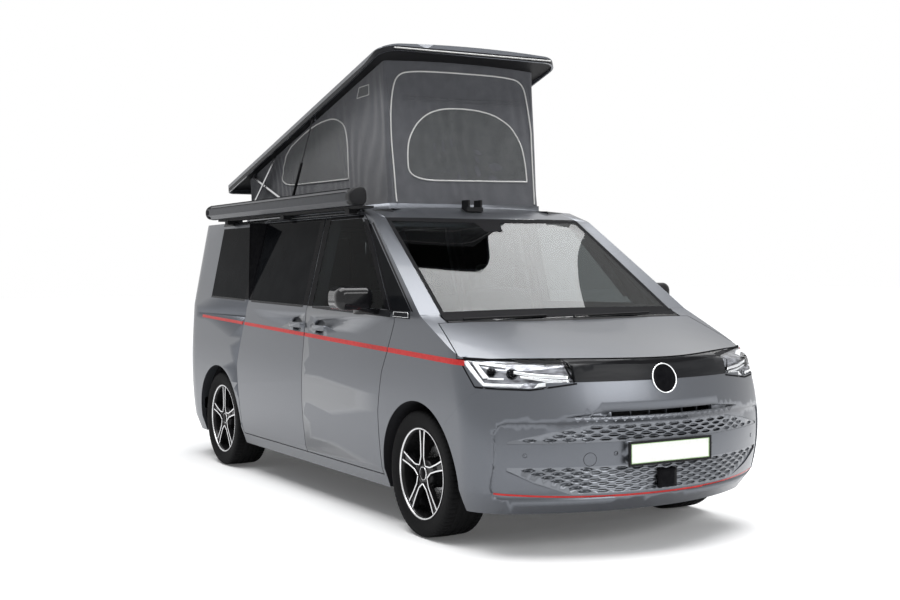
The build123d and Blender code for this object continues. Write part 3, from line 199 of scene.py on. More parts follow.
ALLOY_CUT = finish_of("alloy_cut", (0.62, 0.62, 0.63), 0.24, 1.0)
grain(ALLOY_CUT, 500.0, 0.12, 0.0004)
RED = finish_of("red_stripe", (0.46, 0.030, 0.030), 0.28, 0.0, IOR=1.2)
mottle(RED, (0.44, 0.026, 0.026), (0.50, 0.036, 0.034), 40.0)
CHROME = finish_of("lamp_chrome", (0.78, 0.79, 0.80), 0.10, 1.0)
grain(CHROME, 200.0, 0.05, 0.0003)
LIGHT_BAR = finish_of("lamp_light_bar", (0.86, 0.88, 0.90), 0.18, 0.0, Coat_Weight=1.0)
mottle(LIGHT_BAR, (0.80, 0.82, 0.84), (0.90, 0.92, 0.94), 160.0)
REFLECTOR = finish_of("lamp_reflector", (0.23, 0.235, 0.25), 0.28, 0.75)
mottle(REFLECTOR, (0.10, 0.10, 0.11), (0.38, 0.39, 0.42), 26.0, 0.35, 0.7, 2.0, (1, 0.5, 3))
BAND = finish_of("band_black", (0.012, 0.0125, 0.014), 0.25, 0.0, IOR=1.16)
mottle(BAND, (0.012, 0.0125, 0.014), (0.018, 0.0185, 0.020), 5.0, 0.35, 0.65, 2.0, (1, 1, 9))
SEAL = finish_of("black_seal", (0.008, 0.008, 0.009), 0.7, IOR=1.12)
grain(SEAL, 800.0, 0.2, 0.0003)
GREEN = finish_of("plate_border", (0.33, 0.52, 0.22), 0.4)
mottle(GREEN, (0.31, 0.50, 0.20), (0.36, 0.55, 0.25), 70.0)
MIRROR = finish_of("mirror_glass", (0.80, 0.81, 0.82), 0.01, 1.0)
grain(MIRROR, 3.0, 0.01, 0.0001)
PIPING = finish_of("grey_piping", (0.52, 0.52, 0.51), 0.6)
grain(PIPING, 1500.0, 0.5, 0.0005)

slot_finish = {
    "body_paint": SILVER, "underbody_paint": COATING, "plate": PLATE, "trim_black": TRIM, "gloss_black": GLOSS,
    "lamp_glass": LENS, "clear_glass": CLEAR, "privacy_glass": PRIVACY, "tail_lamp": RED_LENS, "awning_case": CASE,
    "interior_plastic": PLASTIC, "seat_cloth": SEAT_CLOTH, "cabinet": CABINET, "chassis_steel": STEEL,
    "bright_steel": BRIGHT, "canvas": CANVAS, "tyre": RUBBER, "rim_alloy": ALLOY_DARK,
}
LATTICE = paint("lattice_silver", (0.125, 0.132, 0.146), (0.165, 0.174, 0.190))
node_finish = {
    "mirror_right": SHELL, "mirror_left": SHELL, "bumper_grille": LATTICE, "strut_rods": STEEL, "upper_grille": BAND,
    "door_glass_right": DOOR_GLASS, "door_glass_left": DOOR_GLASS,
}
node_slots = {entry["node"]: entry["material_slot"] for entry in frame["record"]["subparts"]}
body_of = {node: body for body, group in frame["record"]["behaviour"]["bodies"].items() for node in group}
for name, node in nodes.items():
    node.data.materials.clear()
    node.data.materials.append(node_finish.get(name, slot_finish[node_slots[name]]))


# ---------------------------------------------------------------- forms
def new_object(name, mesh, material, body):
    """Object at the origin that rides on a CAD body."""
    mesh.materials.append(material)
    piece = bpy.data.objects.new(name, mesh)
    bpy.context.scene.collection.objects.link(piece)
    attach(piece, body)
    return piece


def grid_mesh(name, points, wrap_u=False, wrap_v=False):
    """Mesh over an array of points of shape (u, v, 3), wrapped where a direction closes."""
    points = np.asarray(points, float)
    count_u, count_v = points.shape[:2]
    u = np.arange(count_u if wrap_u else count_u - 1)
    v = np.arange(count_v if wrap_v else count_v - 1)
    a, b = np.meshgrid(u, v, indexing="ij")
    a2, b2 = (a + 1) % count_u, (b + 1) % count_v
    quads = np.stack([a * count_v + b, a2 * count_v + b, a2 * count_v + b2, a * count_v + b2], -1).reshape(-1, 4)
    mesh = bpy.data.meshes.new(name)
    mesh.from_pydata(points.reshape(-1, 3).tolist(), [], quads.tolist())
    mesh.update()
    mesh.shade_smooth()
    return mesh


def surface(name, points, material, body, wrap_u=False, wrap_v=False, thick=0.0):
    """A grid surface as a piece of the van, given a wall where thick is set."""
    piece = new_object(name, grid_mesh(name, points, wrap_u, wrap_v), material, body)
    if thick:
        wall = piece.modifiers.new("wall", "SOLIDIFY")
        wall.thickness = thick
        wall.offset = 0.0
    return piece


def frames_along(path, up=(0, 0, 1)):
    """Unit side and normal vectors at each point of a path."""
    path = np.asarray(path, float)
    run = np.gradient(path, axis=0)
    run /= np.linalg.norm(run, axis=1, keepdims=True)
    side = np.cross(run, np.asarray(up, float))
    side /= np.maximum(np.linalg.norm(side, axis=1, keepdims=True), 1e-9)
    return side, np.cross(side, run)


def swept(name, path, section, material, body, closed=False, up=(0, 0, 1)):
    """A section (across, out) carried along a path: point = path + across * side + out * normal."""
    path = np.asarray(path, float)
    side, normal = frames_along(path, up)
    section = np.asarray(section, float)
    points = path[:, None] + section[None, :, :1] * side[:, None] + section[None, :, 1:] * normal[:, None]
    return surface(name, points, material, body, wrap_u=closed, wrap_v=True)


def ring(radius, count=12, squash=1.0):
    """Round section of a rod."""
    turn = np.linspace(0, 2 * pi, count, endpoint=False)
    return np.stack([radius * np.cos(turn), squash * radius * np.sin(turn)], 1)


def smooth_copy(node_name, angle=28.0):
    """The CAD node with its facets merged and shaded smooth, shown in its place."""
    source = nodes[node_name]
    mesh = source.data.copy()
    mesh.name = node_name + "_skin"
    merged = bpy.data.objects.new(node_name + "_skin", mesh)
    bpy.context.scene.collection.objects.link(merged)
    weld = merged.modifiers.new("weld", "WELD")
    weld.merge_threshold = 2e-5
    bpy.context.view_layer.update()
    baked = bpy.data.meshes.new_from_object(merged.evaluated_get(bpy.context.evaluated_depsgraph_get()))
    merged.modifiers.clear()
    merged.data = baked
    baked.shade_smooth()
    baked.set_sharp_from_angle(angle=radians(angle))
    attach(merged, body_of[node_name])
    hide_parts(node_name)
    return merged


for node in (
    "side_panel_right", "side_panel_left", "front_wings", "bonnet", "front_bumper", "rear_bumper", "roof_panel",
    "front_door_right", "front_door_left", "sliding_door_right", "sliding_door_left", "tailgate", "windscreen",
    "side_glass", "door_glass_right", "door_glass_left", "tailgate_glass", "headlamps", "tail_lamps",
    "roof_lid", "mirror_right", "mirror_left", "upper_grille", "awning", "steering_wheel", "bumper_grille",
    "rim_front_right", "rim_front_left", "rim_rear_right", "rim_rear_left",
):
    smooth_copy(node)

# ---------------------------------------------------------------- pieces that lie on the body
known_trees = {}


def tree_of(*names):
    """Ray tree over CAD nodes at rest, made once for each set of them."""
    if names in known_trees:
        return known_trees[names]
    vertices, faces = [], []
    for name in names:
        mesh = nodes[name].data
        start = len(vertices)
        vertices += [vertex.co.copy() for vertex in mesh.vertices]
        faces += [[start + corner for corner in face.vertices] for face in mesh.polygons]
    known_trees[names] = BVHTree.FromPolygons(vertices, faces)
    return known_trees[names]


def draped(tree, points, way, lift):
    """Points moved along way onto the first face met, then back out by lift. Points that meet nothing keep the depth of
    the nearest one that does, along their own row."""
    way = Vector(way).normalized()
    flat = np.asarray(points, float)
    hits = np.full(flat.shape[:2], np.nan)
    for index in np.ndindex(hits.shape):
        start = Vector(flat[index]) - way * 3.0
        place, _, _, depth = tree.ray_cast(start, way)
        if place is not None:
            hits[index] = depth - 3.0 - lift
    columns = np.arange(hits.shape[1])
    for row in hits:
        known = ~np.isnan(row)
        if known.any():
            row[~known] = np.interp(columns[~known], columns[known], row[known])
    return flat + hits[..., None] * np.array(way)


def along_line(points, count):
    """Evenly spaced places along a run of straight pieces."""
    points = np.asarray(points, float)
    steps = np.concatenate([[0], np.cumsum(np.linalg.norm(np.diff(points, axis=0), axis=1))])
    even = np.linspace(0, steps[-1], count)
    return np.stack([np.interp(even, steps, points[:, axis]) for axis in range(points.shape[1])], 1)


def between(edge, other_edge, along, across):
    """Ruled grid between two lines: (1 - t) edge(s) + t other_edge(s)."""
    t = np.linspace(0, 1, across)[None, :, None]
    return (1 - t) * along_line(edge, along)[:, None] + t * along_line(other_edge, along)[:, None]


def van_places(grid):
    """Places in mm from the front axle to row-frame metres."""
    return np.asarray(grid, float) / 1000 + (FRONT_AXLE, 0, 0)


def against(points, way):
    """The grid turned over where its faces look along way."""
    du, dv = points[1:, :-1] - points[:-1, :-1], points[:-1, 1:] - points[:-1, :-1]
    return points[::-1] if np.cross(du, dv).sum((0, 1)) @ np.asarray(way, float) > 0 else points


def laid(name, edge, other_edge, node_names, way, lift, material, along=30, across=4, thick=0.0, body=None):
    """A strip between two lines in mm, moved along way onto CAD nodes and lifted off them; a negative lift sinks it."""
    points = draped(tree_of(*node_names), van_places(between(edge, other_edge, along, across)), way, lift)
    return surface(name, against(points, way), material, body or body_of[node_names[0]], thick=thick)


def met(node_names, start, way):
    """Place and normal where a ray from a place in mm along way meets CAD nodes."""
    place, normal, _, _ = tree_of(*node_names).ray_cast(Vector(van_places(start)) - Vector(way) * 3.0, Vector(way))
    return np.array(place), np.array(normal)


def turned(name, centre, axis, profile, material, body, count=48):
    """Surface of revolution about an axis: profile rows are (radius, height along the axis)."""
    axis = np.asarray(axis, float) / np.linalg.norm(axis)
    side = np.cross(axis, (0.0, 1.0, 0.0) if abs(axis[1]) < 0.8 else (1.0, 0.0, 0.0))
    side /= np.linalg.norm(side)
    profile = np.asarray(profile, float)
    turn = np.linspace(0, 2 * pi, count, endpoint=False)
    round_way = np.cos(turn)[:, None] * side + np.sin(turn)[:, None] * np.cross(axis, side)
    points = np.asarray(centre) + profile[:, None, :1] * round_way[None] + profile[:, None, 1:] * axis
    return surface(name, points, material, body, wrap_v=True)


def blend_quad(corners, across, along):
    """Bilinear grid in a plane over four corners given round the outline."""
    a, b, c, d = (np.asarray(corner, float) for corner in corners)
    u, v = np.meshgrid(np.linspace(0, 1, across), np.linspace(0, 1, along), indexing="ij")
    u, v = u[..., None], v[..., None]
    return (1 - u) * (1 - v) * a + u * (1 - v) * b + u * v * c + (1 - u) * v * d


def side_points(grid, side):
    """(x from the front axle in mm, z in mm) to row-frame metres on the plane y = 0."""
    return np.stack([FRONT_AXLE + grid[..., 0] / 1000, np.zeros(grid.shape[:2]), grid[..., 1] / 1000], -1)


def side_patch(name, corners, node, material, side, lift=0.0012, divisions=(14, 6)):
    """A skin over one quadrilateral of a side panel; corners are (x, z) in mm from the front axle."""
    grid = blend_quad(corners, *divisions)
    points = draped(tree_of(node), side_points(grid, side), (0, -side, 0), lift)
    return surface(name, points if side < 0 else points[:, ::-1], material, body_of[node])


HANDS = (("right", -1), ("left", 1))

# stripe along each side: height of its top and bottom edge at the rear and front ends
STRIPE_REAR, STRIPE_FRONT = (-3525.0, 1106.0, 1126.0), (492.0, 975.0, 1004.0)


def stripe_height(x, edge):
    """Height of the stripe's bottom (1) or top (2) edge at a station."""
    share = (x - STRIPE_REAR[0]) / (STRIPE_FRONT[0] - STRIPE_REAR[0])
    return STRIPE_REAR[edge] + share * (STRIPE_FRONT[edge] - STRIPE_REAR[edge])


# gloss black pillars and the band over the side windows: what carries each, and its four (x, z) corners
PILLARS = {
    "door_pillar": ("front_door", ((-1450, 1238), (-1529.4, 1238), (-1519.4, 1806), (-1436, 1806))),
    "door_front_frame": ("front_door", ((-425, 1244), (-366, 1240), (-900, 1774), (-948, 1764))),
    "wing_pillar": ("side_panel", ((-356, 1240), (-338, 1238), (-848, 1748), (-896, 1780))),
    "door_head": ("front_door", ((-960, 1790), (-1438, 1790), (-1438, 1808), (-952, 1808))),
    "slide_pillar": ("sliding_door", ((-1536.6, 1240), (-1604, 1240), (-1593, 1806), (-1526, 1806))),
    "slide_rear": ("sliding_door", ((-2533, 1254), (-2588, 1254), (-2548, 1806), (-2512, 1806))),
    "slide_head": ("sliding_door", ((-1591, 1788), (-2517, 1788), (-2520, 1807), (-1590, 1807))),
    "rear_pillar": ("side_panel", ((-2600, 1258), (-2668, 1258), (-2637, 1800), (-2560, 1800))),
}
for hand, side in HANDS:
    stretches = (
        (f"side_panel_{hand}", -3525, -2624), (f"sliding_door_{hand}", -2612, -1539),
        (f"front_door_{hand}", -1527, -349), ("front_wings", -339, 492),
    )
    for node, start, stop in stretches:
        corners = [(x, stripe_height(x, edge)) for x, edge in ((start, 1), (stop, 1), (stop, 2), (start, 2))]
        side_patch(f"red_stripe_{hand}_{node.split('_')[0]}", corners, node, RED, side, 0.0010, (40, 3))

    for patch, (carrier, corners) in PILLARS.items():
        side_patch(f"{patch}_{hand}", corners, f"{carrier}_{hand}", GLOSS, side)

# ---------------------------------------------------------------- roof canvas
TENT_FOOT, TENT_HALF = 1.8895, 0.565
TENT_REAR, TENT_FRONT, TENT_LEAN = FRONT_AXLE - 3.480, FRONT_AXLE - 1.060, 0.0783
LID_REAR, LID_REAR_HEIGHT, LID_RISE = FRONT_AXLE - 3.730, 2.135, LID_GAIN / LID_FLAT


def lid_under(x, y, gap=0.0):
    """Height of the lid's crowned underside."""
    crown = 0.027 * (1 - (y / 0.685) ** 2) - 0.002
    return LID_REAR_HEIGHT + (x - LID_REAR) * LID_RISE + (crown - 0.030) / np.cos(LID_SLOPE) - gap


def tent_front(z):
    """Station of the canvas's front panel, which leans back as it rises."""
    return TENT_FRONT - TENT_LEAN * (z - TENT_FOOT)


def rounded_loop(x0, x1, half, rear_corner, front_corner, per_side):
    """Closed plan loop of a rounded rectangle: straight runs joined by quarter arcs, from the left of the front."""
    def run(a, b, count):
        return np.linspace(a, b, count, endpoint=False)

    def turn(centre, start, radius):
        angles = np.linspace(start, start - pi / 2, 8, endpoint=False)
        return np.stack([centre[0] + radius * np.cos(angles), centre[1] + radius * np.sin(angles)], 1)

    return np.concatenate([
        run((x1, half - front_corner), (x1, -half + front_corner), per_side[0]),
        turn((x1 - front_corner, -half + front_corner), 0.0, front_corner),
        run((x1 - front_corner, -half), (x0 + rear_corner, -half), per_side[1]),
        turn((x0 + rear_corner, -half + rear_corner), -pi / 2, rear_corner),
        run((x0, -half + rear_corner), (x0, half - rear_corner), per_side[0]),
        turn((x0 + rear_corner, half - rear_corner), -pi, rear_corner),
        run((x0 + rear_corner, half), (x1 - front_corner, half), per_side[1]),
        turn((x1 - front_corner, half - front_corner), -3 * pi / 2, front_corner),
    ])


def canvas_relief(x, y, z, facing):
    """Inward pull of the cloth in metres: a slow bow between foot and lid, with upright folds."""
    share = np.clip((z - TENT_FOOT) / np.maximum(lid_under(x, y) - TENT_FOOT, 0.05), 0, 1)
    along = np.where(facing == 0, y, x)
    bow = 0.010 * np.sin(pi * share) * (0.6 + 0.4 * np.cos(4.1 * along + 0.5))
    folds = 0.0026 * np.sin(61 * along + 5 * np.sin(3.3 * share + 7 * along)) * np.sin(pi * share) ** 0.6
    foot = 0.0035 * np.sin(37 * along + 2.0) * np.exp(-((share - 0.05) / 0.10) ** 2)
    return bow + folds * (0.35 + 0.65 * np.abs(np.sin(2.3 * along + 1.0))) + foot * np.clip(share * 12, 0, 1)


def tent_point(x, y, z, facing, lift=0.0):
    """A place on the canvas, pulled in by the relief and lifted off it by lift; facing is 0 at the front, 1 at the right,
    2 at the rear and 3 at the left."""
    pull = canvas_relief(x, y, z, facing) - lift
    dx = np.where(facing == 0, -pull, np.where(facing == 2, pull, 0.0))
    dy = np.where(facing == 1, pull, np.where(facing == 3, -pull, 0.0))
    return np.stack([x + dx, y + dy, z + 0 * x], -1)


loop = rounded_loop(TENT_REAR, TENT_FRONT, TENT_HALF, 0.030, 0.030, (110, 210))
rows = np.linspace(0, 1, 70)[:, None]
plan_x, plan_y = loop[:, 0][None, :], loop[:, 1][None, :]
lean_share = np.clip((plan_x - FRONT_AXLE + 1.2) / 0.14, 0, 1)
top_x = np.where(plan_x > FRONT_AXLE - 1.2, plan_x - 0.072 * lean_share, plan_x)
top_z = lid_under(top_x, plan_y, 0.002)
canvas_x = plan_x + (top_x - plan_x) * rows
canvas_z = TENT_FOOT + (top_z - TENT_FOOT) * rows
canvas_y = plan_y + 0 * rows
edge_front = np.abs(plan_x - TENT_FRONT) < 1e-6
edge_rear = np.abs(plan_x - TENT_REAR) < 1e-6
facing_of = np.where(edge_front, 0, np.where(edge_rear, 2, np.where(plan_y < 0, 1, 3))) + 0 * rows
canvas_points = tent_point(canvas_x, canvas_y, canvas_z, facing_of.astype(int))
canvas = surface("roof_canvas", canvas_points, CANVAS, "van_body", wrap_v=True)


def folds_with_roof(piece):
    """Gives a canvas piece its own copy of its mesh."""
    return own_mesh(piece)


OUT_WAY = {0: (1.0, 0.0, 0.0), 1: (0.0, -1.0, 0.0), 3: (0.0, 1.0, 0.0)}


def tent_plane(along, z, facing):
    """Stations and widths of places given along one face and by height."""
    if facing == 0:
        return tent_front(z), along
    return FRONT_AXLE + along, np.full_like(z, -TENT_HALF if facing == 1 else TENT_HALF)


def tent_outline(name, outline, facing, radius=0.0052, material=PIPING):
    """Piping sewn along a line on one face of the canvas; a line that ends where it starts is a closed loop."""
    closed = bool(np.allclose(outline[0], outline[-1]))
    along, z = along_line(outline, 261).T
    if closed:
        along, z = along[:-1], z[:-1]
    path = tent_point(*tent_plane(along, z, facing), z, np.full(z.shape, facing), 0.001)
    out = np.array(OUT_WAY[facing])
    run = np.roll(path, -1, 0) - np.roll(path, 1, 0) if closed else np.gradient(path, axis=0)
    run /= np.linalg.norm(run, axis=1, keepdims=True)
    side = np.cross(run, out)
    section = ring(radius, 8)
    points = path[:, None] + section[None, :, :1] * side[:, None] + section[None, :, 1:] * out
    piece = surface(name, points, material, "van_body", wrap_u=closed, wrap_v=True)
    return folds_with_roof(piece)


def smoothed(corners, rounds=3):
    """A run of corners cut back towards a curve: each round puts points a quarter in from every corner."""
    points = np.asarray(corners, float)
    for _ in range(rounds):
        before, after = points[:-1], points[1:]
        inner = np.stack([0.75 * before + 0.25 * after, 0.25 * before + 0.75 * after], 1).reshape(-1, 2)
        points = np.concatenate([points[:1], inner[1:-1], points[-1:]])
    return points


front_arch_line = smoothed([
    (0.606, 1.900), (0.570, 2.120), (0.535, 2.342), (0.510, 2.560), (0.480, 2.720), (0.350, 2.748), (0.0, 2.750),
    (-0.350, 2.744), (-0.480, 2.712), (-0.518, 2.560), (-0.531, 2.372), (-0.522, 2.120), (-0.512, 1.900),
])
front_arch_line[:, 0] = np.clip(front_arch_line[:, 0], -0.53, 0.53)
front_window_line = smoothed([
    (0.479, 2.051), (0.470, 2.180), (0.440, 2.330), (0.330, 2.455), (0.160, 2.510), (-0.010, 2.518), (-0.170, 2.508),
    (-0.300, 2.450), (-0.395, 2.330), (-0.420, 2.200), (-0.410, 2.039), (0.0, 2.044), (0.479, 2.051),
])
tent_pieces = [
    tent_outline("piping_front_door", front_arch_line, 0), tent_outline("piping_front_window", front_window_line, 0)
]
for row, height in enumerate((2.553, 2.573)):
    seam_line = np.array([(-0.420, height), (0.443, height + 0.008)])
    tent_pieces.append(tent_outline(f"front_seam_{row}", seam_line, 0, 0.0022, CANVAS))
side_window_line = smoothed([
    (-1.663, 2.077), (-1.672, 2.260), (-1.700, 2.430), (-1.850, 2.505), (-2.050, 2.505), (-2.235, 2.480),
    (-2.460, 2.425), (-2.690, 2.350), (-2.780, 2.230), (-2.823, 2.094), (-2.240, 2.085), (-1.663, 2.077),
])
vent_line = np.array([(-1.520, 2.598), (-1.482, 2.664), (-1.339, 2.668), (-1.340, 2.604), (-1.520, 2.598)])
for hand, facing in (("right", 1), ("left", 3)):
    tent_pieces.append(tent_outline(f"piping_side_window_{hand}", side_window_line, facing))
    tent_pieces.append(tent_outline(f"piping_vent_{hand}", vent_line, facing, 0.0026))


def filled(name, outline, facing, material, rings=14, lift=0.0012):
    """Cloth patch inside an outline: rings shrink from the outline to its middle."""
    centre = outline[:-1].mean(0)
    share = np.linspace(1, 0.001, rings)[:, None, None]
    flat = centre + (outline[:-1] - centre) * share
    along, z = flat[..., 0], flat[..., 1]
    points = tent_point(*tent_plane(along, z, facing), z, np.full(z.shape, facing), lift)
    points = against(points, -np.array(OUT_WAY[facing]))
    return folds_with_roof(surface(name, points, material, "van_body", wrap_v=True))


MESH_CLOTH = woven("window_mesh", (0.050, 0.053, 0.056), (0.066, 0.070, 0.073), 900.0, 0.8)
tent_pieces.append(filled("front_window_mesh", front_window_line, 0, MESH_CLOTH))
for hand, facing in (("right", 1), ("left", 3)):
    tent_pieces.append(filled(f"side_window_mesh_{hand}", side_window_line, facing, MESH_CLOTH))
    tent_pieces.append(filled(f"vent_mesh_{hand}", vent_line, facing, MESH_CLOTH, 6))
folds_with_roof(canvas)
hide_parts("tent")

# ---------------------------------------------------------------- wheels
RIB_FACE = 0.1031
RIM_RING = ((0.2420, 0.1070), (0.2430, 0.1112), (0.2455, 0.1130), (0.2500, 0.1132), (0.2520, 0.1118), (0.2525, 0.1090))
BOLT_CIRCLE = 0.056


def tyre_profile(count):
    """Section of the tyre from bead to bead: (out from the middle, radius), in metres.
    Side wall: out = 0.104 + 0.0185 sin(0.62 pi s) as the radius climbs, with two raised rings; shoulder: a quarter
    ellipse; tread: a shallow crown."""
    s = np.linspace(0, 1, count)
    wall_out, wall_radius = 0.104 + 0.0185 * np.sin(0.62 * pi * s), 0.2415 + 0.0885 * s
    for height, radius, width in ((0.0008, 0.318, 0.0016), (0.001, 0.262, 0.002)):
        wall_out += height * np.exp(-(((wall_radius - radius) / width) ** 2))
    turn = np.linspace(0, pi / 2, count // 2)[1:]
    shoulder_out, shoulder_radius = 0.098 + 0.0232 * np.cos(turn), 0.330 + 0.0185 * np.sin(turn)
    tread_out = np.linspace(0.098, 0.0, count * 2)[1:]
    tread_radius = 0.3485 + 0.003 * (1 - (tread_out / 0.098) ** 2)
    half = np.stack([
        np.concatenate([wall_out, shoulder_out, tread_out]), np.concatenate([wall_radius, shoulder_radius, tread_radius])
    ], 1)
    other = half[::-1][1:] * (-1, 1)
    return np.concatenate([half, other])


def wheel_points(across, up, out, axle, side):
    """Wheel-local (ahead, up, outward) to the row frame."""
    return np.stack([axle + across, side * (WHEEL_MID + out), HUB_HEIGHT + up], -1)


def wheel_surface(name, radius, angle, out, material, body, axle, side):
    """Grid given by radius, angle and outward arrays of shape (section, turn)."""
    points = wheel_points(radius * np.cos(angle), radius * np.sin(angle), out, axle, side)
    if side > 0:
        points = points[::-1]
    return surface(name, points, material, body, wrap_v=True)


def tread_tyre(name, axle, side, body):
    """Tyre with four grooves round the tread and slots across its shoulders: radius falls where a groove is cut."""
    profile = tyre_profile(16)
    turn = np.linspace(0, 2 * pi, 420, endpoint=False)
    out, angle = np.meshgrid(profile[:, 0], turn, indexing="ij")
    radius = np.repeat(profile[:, 1:], turn.size, 1)
    groove = sum(np.exp(-(((np.abs(out) - place) / 0.0045) ** 4)) for place in (0.022, 0.064)) * 0.006
    pitch = (angle * 70 / (2 * pi) + 3.0 * np.abs(out)) % 1.0
    slots = np.exp(-(((pitch - 0.5) / 0.13) ** 4)) * 0.005 * ((np.abs(out) > 0.070) & (radius > 0.334))
    cut = np.maximum(groove * (radius > 0.34), slots)
    return wheel_surface(name, radius - cut, angle, out, RUBBER, body, axle, side)


def rib_path(edge):
    """Centre line of one bright rib in its arm's own (along, across): close in by the hub, it turns out to meet the next
    arm's rib."""
    along = np.array([0.236, 0.200, 0.160, 0.125, 0.092, 0.070, 0.054, 0.046])
    across = np.array([0.0248, 0.0211, 0.0175, 0.0165, 0.0156, 0.0232, 0.0290, 0.0318])
    t = np.linspace(0, 1, along.size)
    fine = np.linspace(0, 1, 40)
    return np.interp(fine, t, along), edge * np.interp(fine, t, across)


def wheel_dress(name, axle, side, body):
    """Bright ribs, rim ring, hub cap, bolts and brake disc face."""
    section = np.array([
        (-0.0048, -0.004), (-0.0048, 0.0), (-0.0036, 0.0012), (0.0036, 0.0012), (0.0048, 0.0), (0.0048, -0.004)
    ])
    strips = []
    for arm in range(5):
        for edge in (-1, 1):
            along, across = rib_path(edge)
            turn = pi / 2 + arm * 2 * pi / 5
            ahead = along * np.cos(turn) - across * np.sin(turn)
            up = along * np.sin(turn) + across * np.cos(turn)
            run = np.stack([np.gradient(ahead), np.gradient(up)], 1)
            run /= np.linalg.norm(run, axis=1, keepdims=True)
            width = np.linspace(1.0, 0.75, along.size)[:, None]
            a = ahead[:, None] - section[None, :, 0] * width * run[:, 1:]
            u = up[:, None] + section[None, :, 0] * width * run[:, :1]
            out = RIB_FACE + 0 * along[:, None] + section[None, :, 1]
            points = wheel_points(a, u, out, axle, side)
            strips.append(points if side > 0 else points[:, ::-1])
    meshes = [grid_mesh(f"{name}_rib", points, wrap_v=True) for points in strips]
    joined(f"{name}_ribs", meshes, ALLOY_CUT, body)
    turn = np.linspace(0, 2 * pi, 120, endpoint=False)
    for piece, profile, material in (
        ("rim_ring", RIM_RING, ALLOY_CUT),
        ("rim_dish", ((0.2435, 0.1095), (0.2385, 0.104), (0.233, 0.088), (0.230, 0.040)), ALLOY_DARK),
        ("hub_cap", ((0.034, 0.0955), (0.0335, 0.1005), (0.030, 0.1025), (0.0, 0.1035)), GLOSS),
        ("hub_ring", ((0.0375, 0.0955), (0.0375, 0.0995), (0.0340, 0.1010), (0.0335, 0.0990)), ALLOY_CUT),
        ("disc_face", ((0.160, -0.0162), (0.082, -0.0162)), BRIGHT),
    ):
        section_points = np.array(profile)
        out, angle = np.meshgrid(section_points[:, 1], turn, indexing="ij")
        radius = np.repeat(section_points[:, :1], turn.size, 1)
        wheel_surface(f"{name}_{piece}", radius[::-1], angle[::-1], out[::-1], material, body, axle, side)
    bolts = []
    for bolt in range(5):
        place = 3 * pi / 10 + bolt * 2 * pi / 5
        centre = (BOLT_CIRCLE * np.cos(place), BOLT_CIRCLE * np.sin(place))
        hexagon = np.linspace(0, 2 * pi, 6, endpoint=False)
        out, angle = np.meshgrid(np.array([0.084, 0.0965, 0.0985, 0.0985]), hexagon, indexing="ij")
        radius = np.array([0.0095, 0.0095, 0.0080, 0.0])[:, None]
        points = wheel_points(centre[0] + radius * np.cos(angle), centre[1] + radius * np.sin(angle), out, axle, side)
        bolts.append(grid_mesh("bolt", points if side > 0 else points[:, ::-1], wrap_v=True))
    joined(f"{name}_bolts", bolts, TRIM, body)


def joined(name, meshes, material, body):
    """One piece from several meshes."""
    points, faces = [], []
    for mesh in meshes:
        start = sum(len(part) for part in points)
        block = np.empty(len(mesh.vertices) * 3)
        mesh.vertices.foreach_get("co", block)
        points.append(block.reshape(-1, 3))
        faces += [[start + corner for corner in face.vertices] for face in mesh.polygons]
    mesh = bpy.data.meshes.new(name)
    mesh.from_pydata(np.concatenate(points).tolist(), [], faces)
    mesh.update()
    mesh.shade_smooth()
    mesh.set_sharp_from_angle(angle=radians(35))
    return new_object(name, mesh, material, body)


for axle_name, axle in (("front", FRONT_AXLE), ("rear", REAR_AXLE)):
    for hand, side in HANDS:
        body = f"wheel_{axle_name}_{hand}"
        tyre = tread_tyre(f"tread_tyre_{axle_name}_{hand}", axle, side, body)
        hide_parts(f"tyre_{axle_name}_{hand}")
        wheel_dress(f"wheel_{axle_name}_{hand}", axle, side, body)

# ---------------------------------------------------------------- front: lamps, badge disc, plate frame, bumper trim
FRONT_WAY = (-1.0, 0.0, 0.0)

# pieces inside each headlamp on the right: two edges each, (x, y, z) in mm from the front axle
LAMP_PIECES = {
    "light_bar_side": (((466, -939, 1000), (586, -920, 877)), ((504, -924, 999), (619, -895, 893))),
    "light_bar_low": (
        ((586, -920, 877), (680, -835, 870), (768, -715, 868), (821, -599, 881), (848, -515, 891)),
        ((619, -895, 893), (704, -811, 890), (765, -715, 888), (818, -597, 901), (846, -505, 904)),
    ),
    "guide_side": (((521, -909, 996), (608, -897, 914)), ((536, -889, 994), (634, -876, 918))),
    "guide_top": (
        ((531, -892, 994), (582, -831, 988), (636, -779, 979)), ((553, -896, 985), (603, -846, 976), (657, -794, 967))
    ),
    "guide_low": (((630, -880, 919), (687, -822, 918)), ((628, -884, 911), (689, -825, 909))),
    "chrome_upper": (
        ((705, -782, 953), (768, -680, 938), (839, -529, 926)), ((708, -784, 941), (772, -682, 919), (841, -530, 911))
    ),
    "chrome_lower": (
        ((728, -757, 929), (795, -639, 913), (846, -508, 904)), ((730, -758, 920), (797, -641, 900), (850, -508, 895))
    ),
}
LAMP_BACK = (((462, -939, 1003), (604, -747, 997), (778, -513, 988)), ((588, -920, 870), (770, -715, 861), (856, -500, 893)))
LAMP_EYES = ((634, -857, 946, 0.019), (694, -768, 938, 0.023))


def other_side(places, side):
    """Places of the right side, or the left side's mirror of them."""
    return [(x, -side * y, z) for x, y, z in places]


def lamp_way(side):
    """Way of the rays that look straight at a headlamp's face."""
    return (-0.77, 0.63 * -side, 0.0)


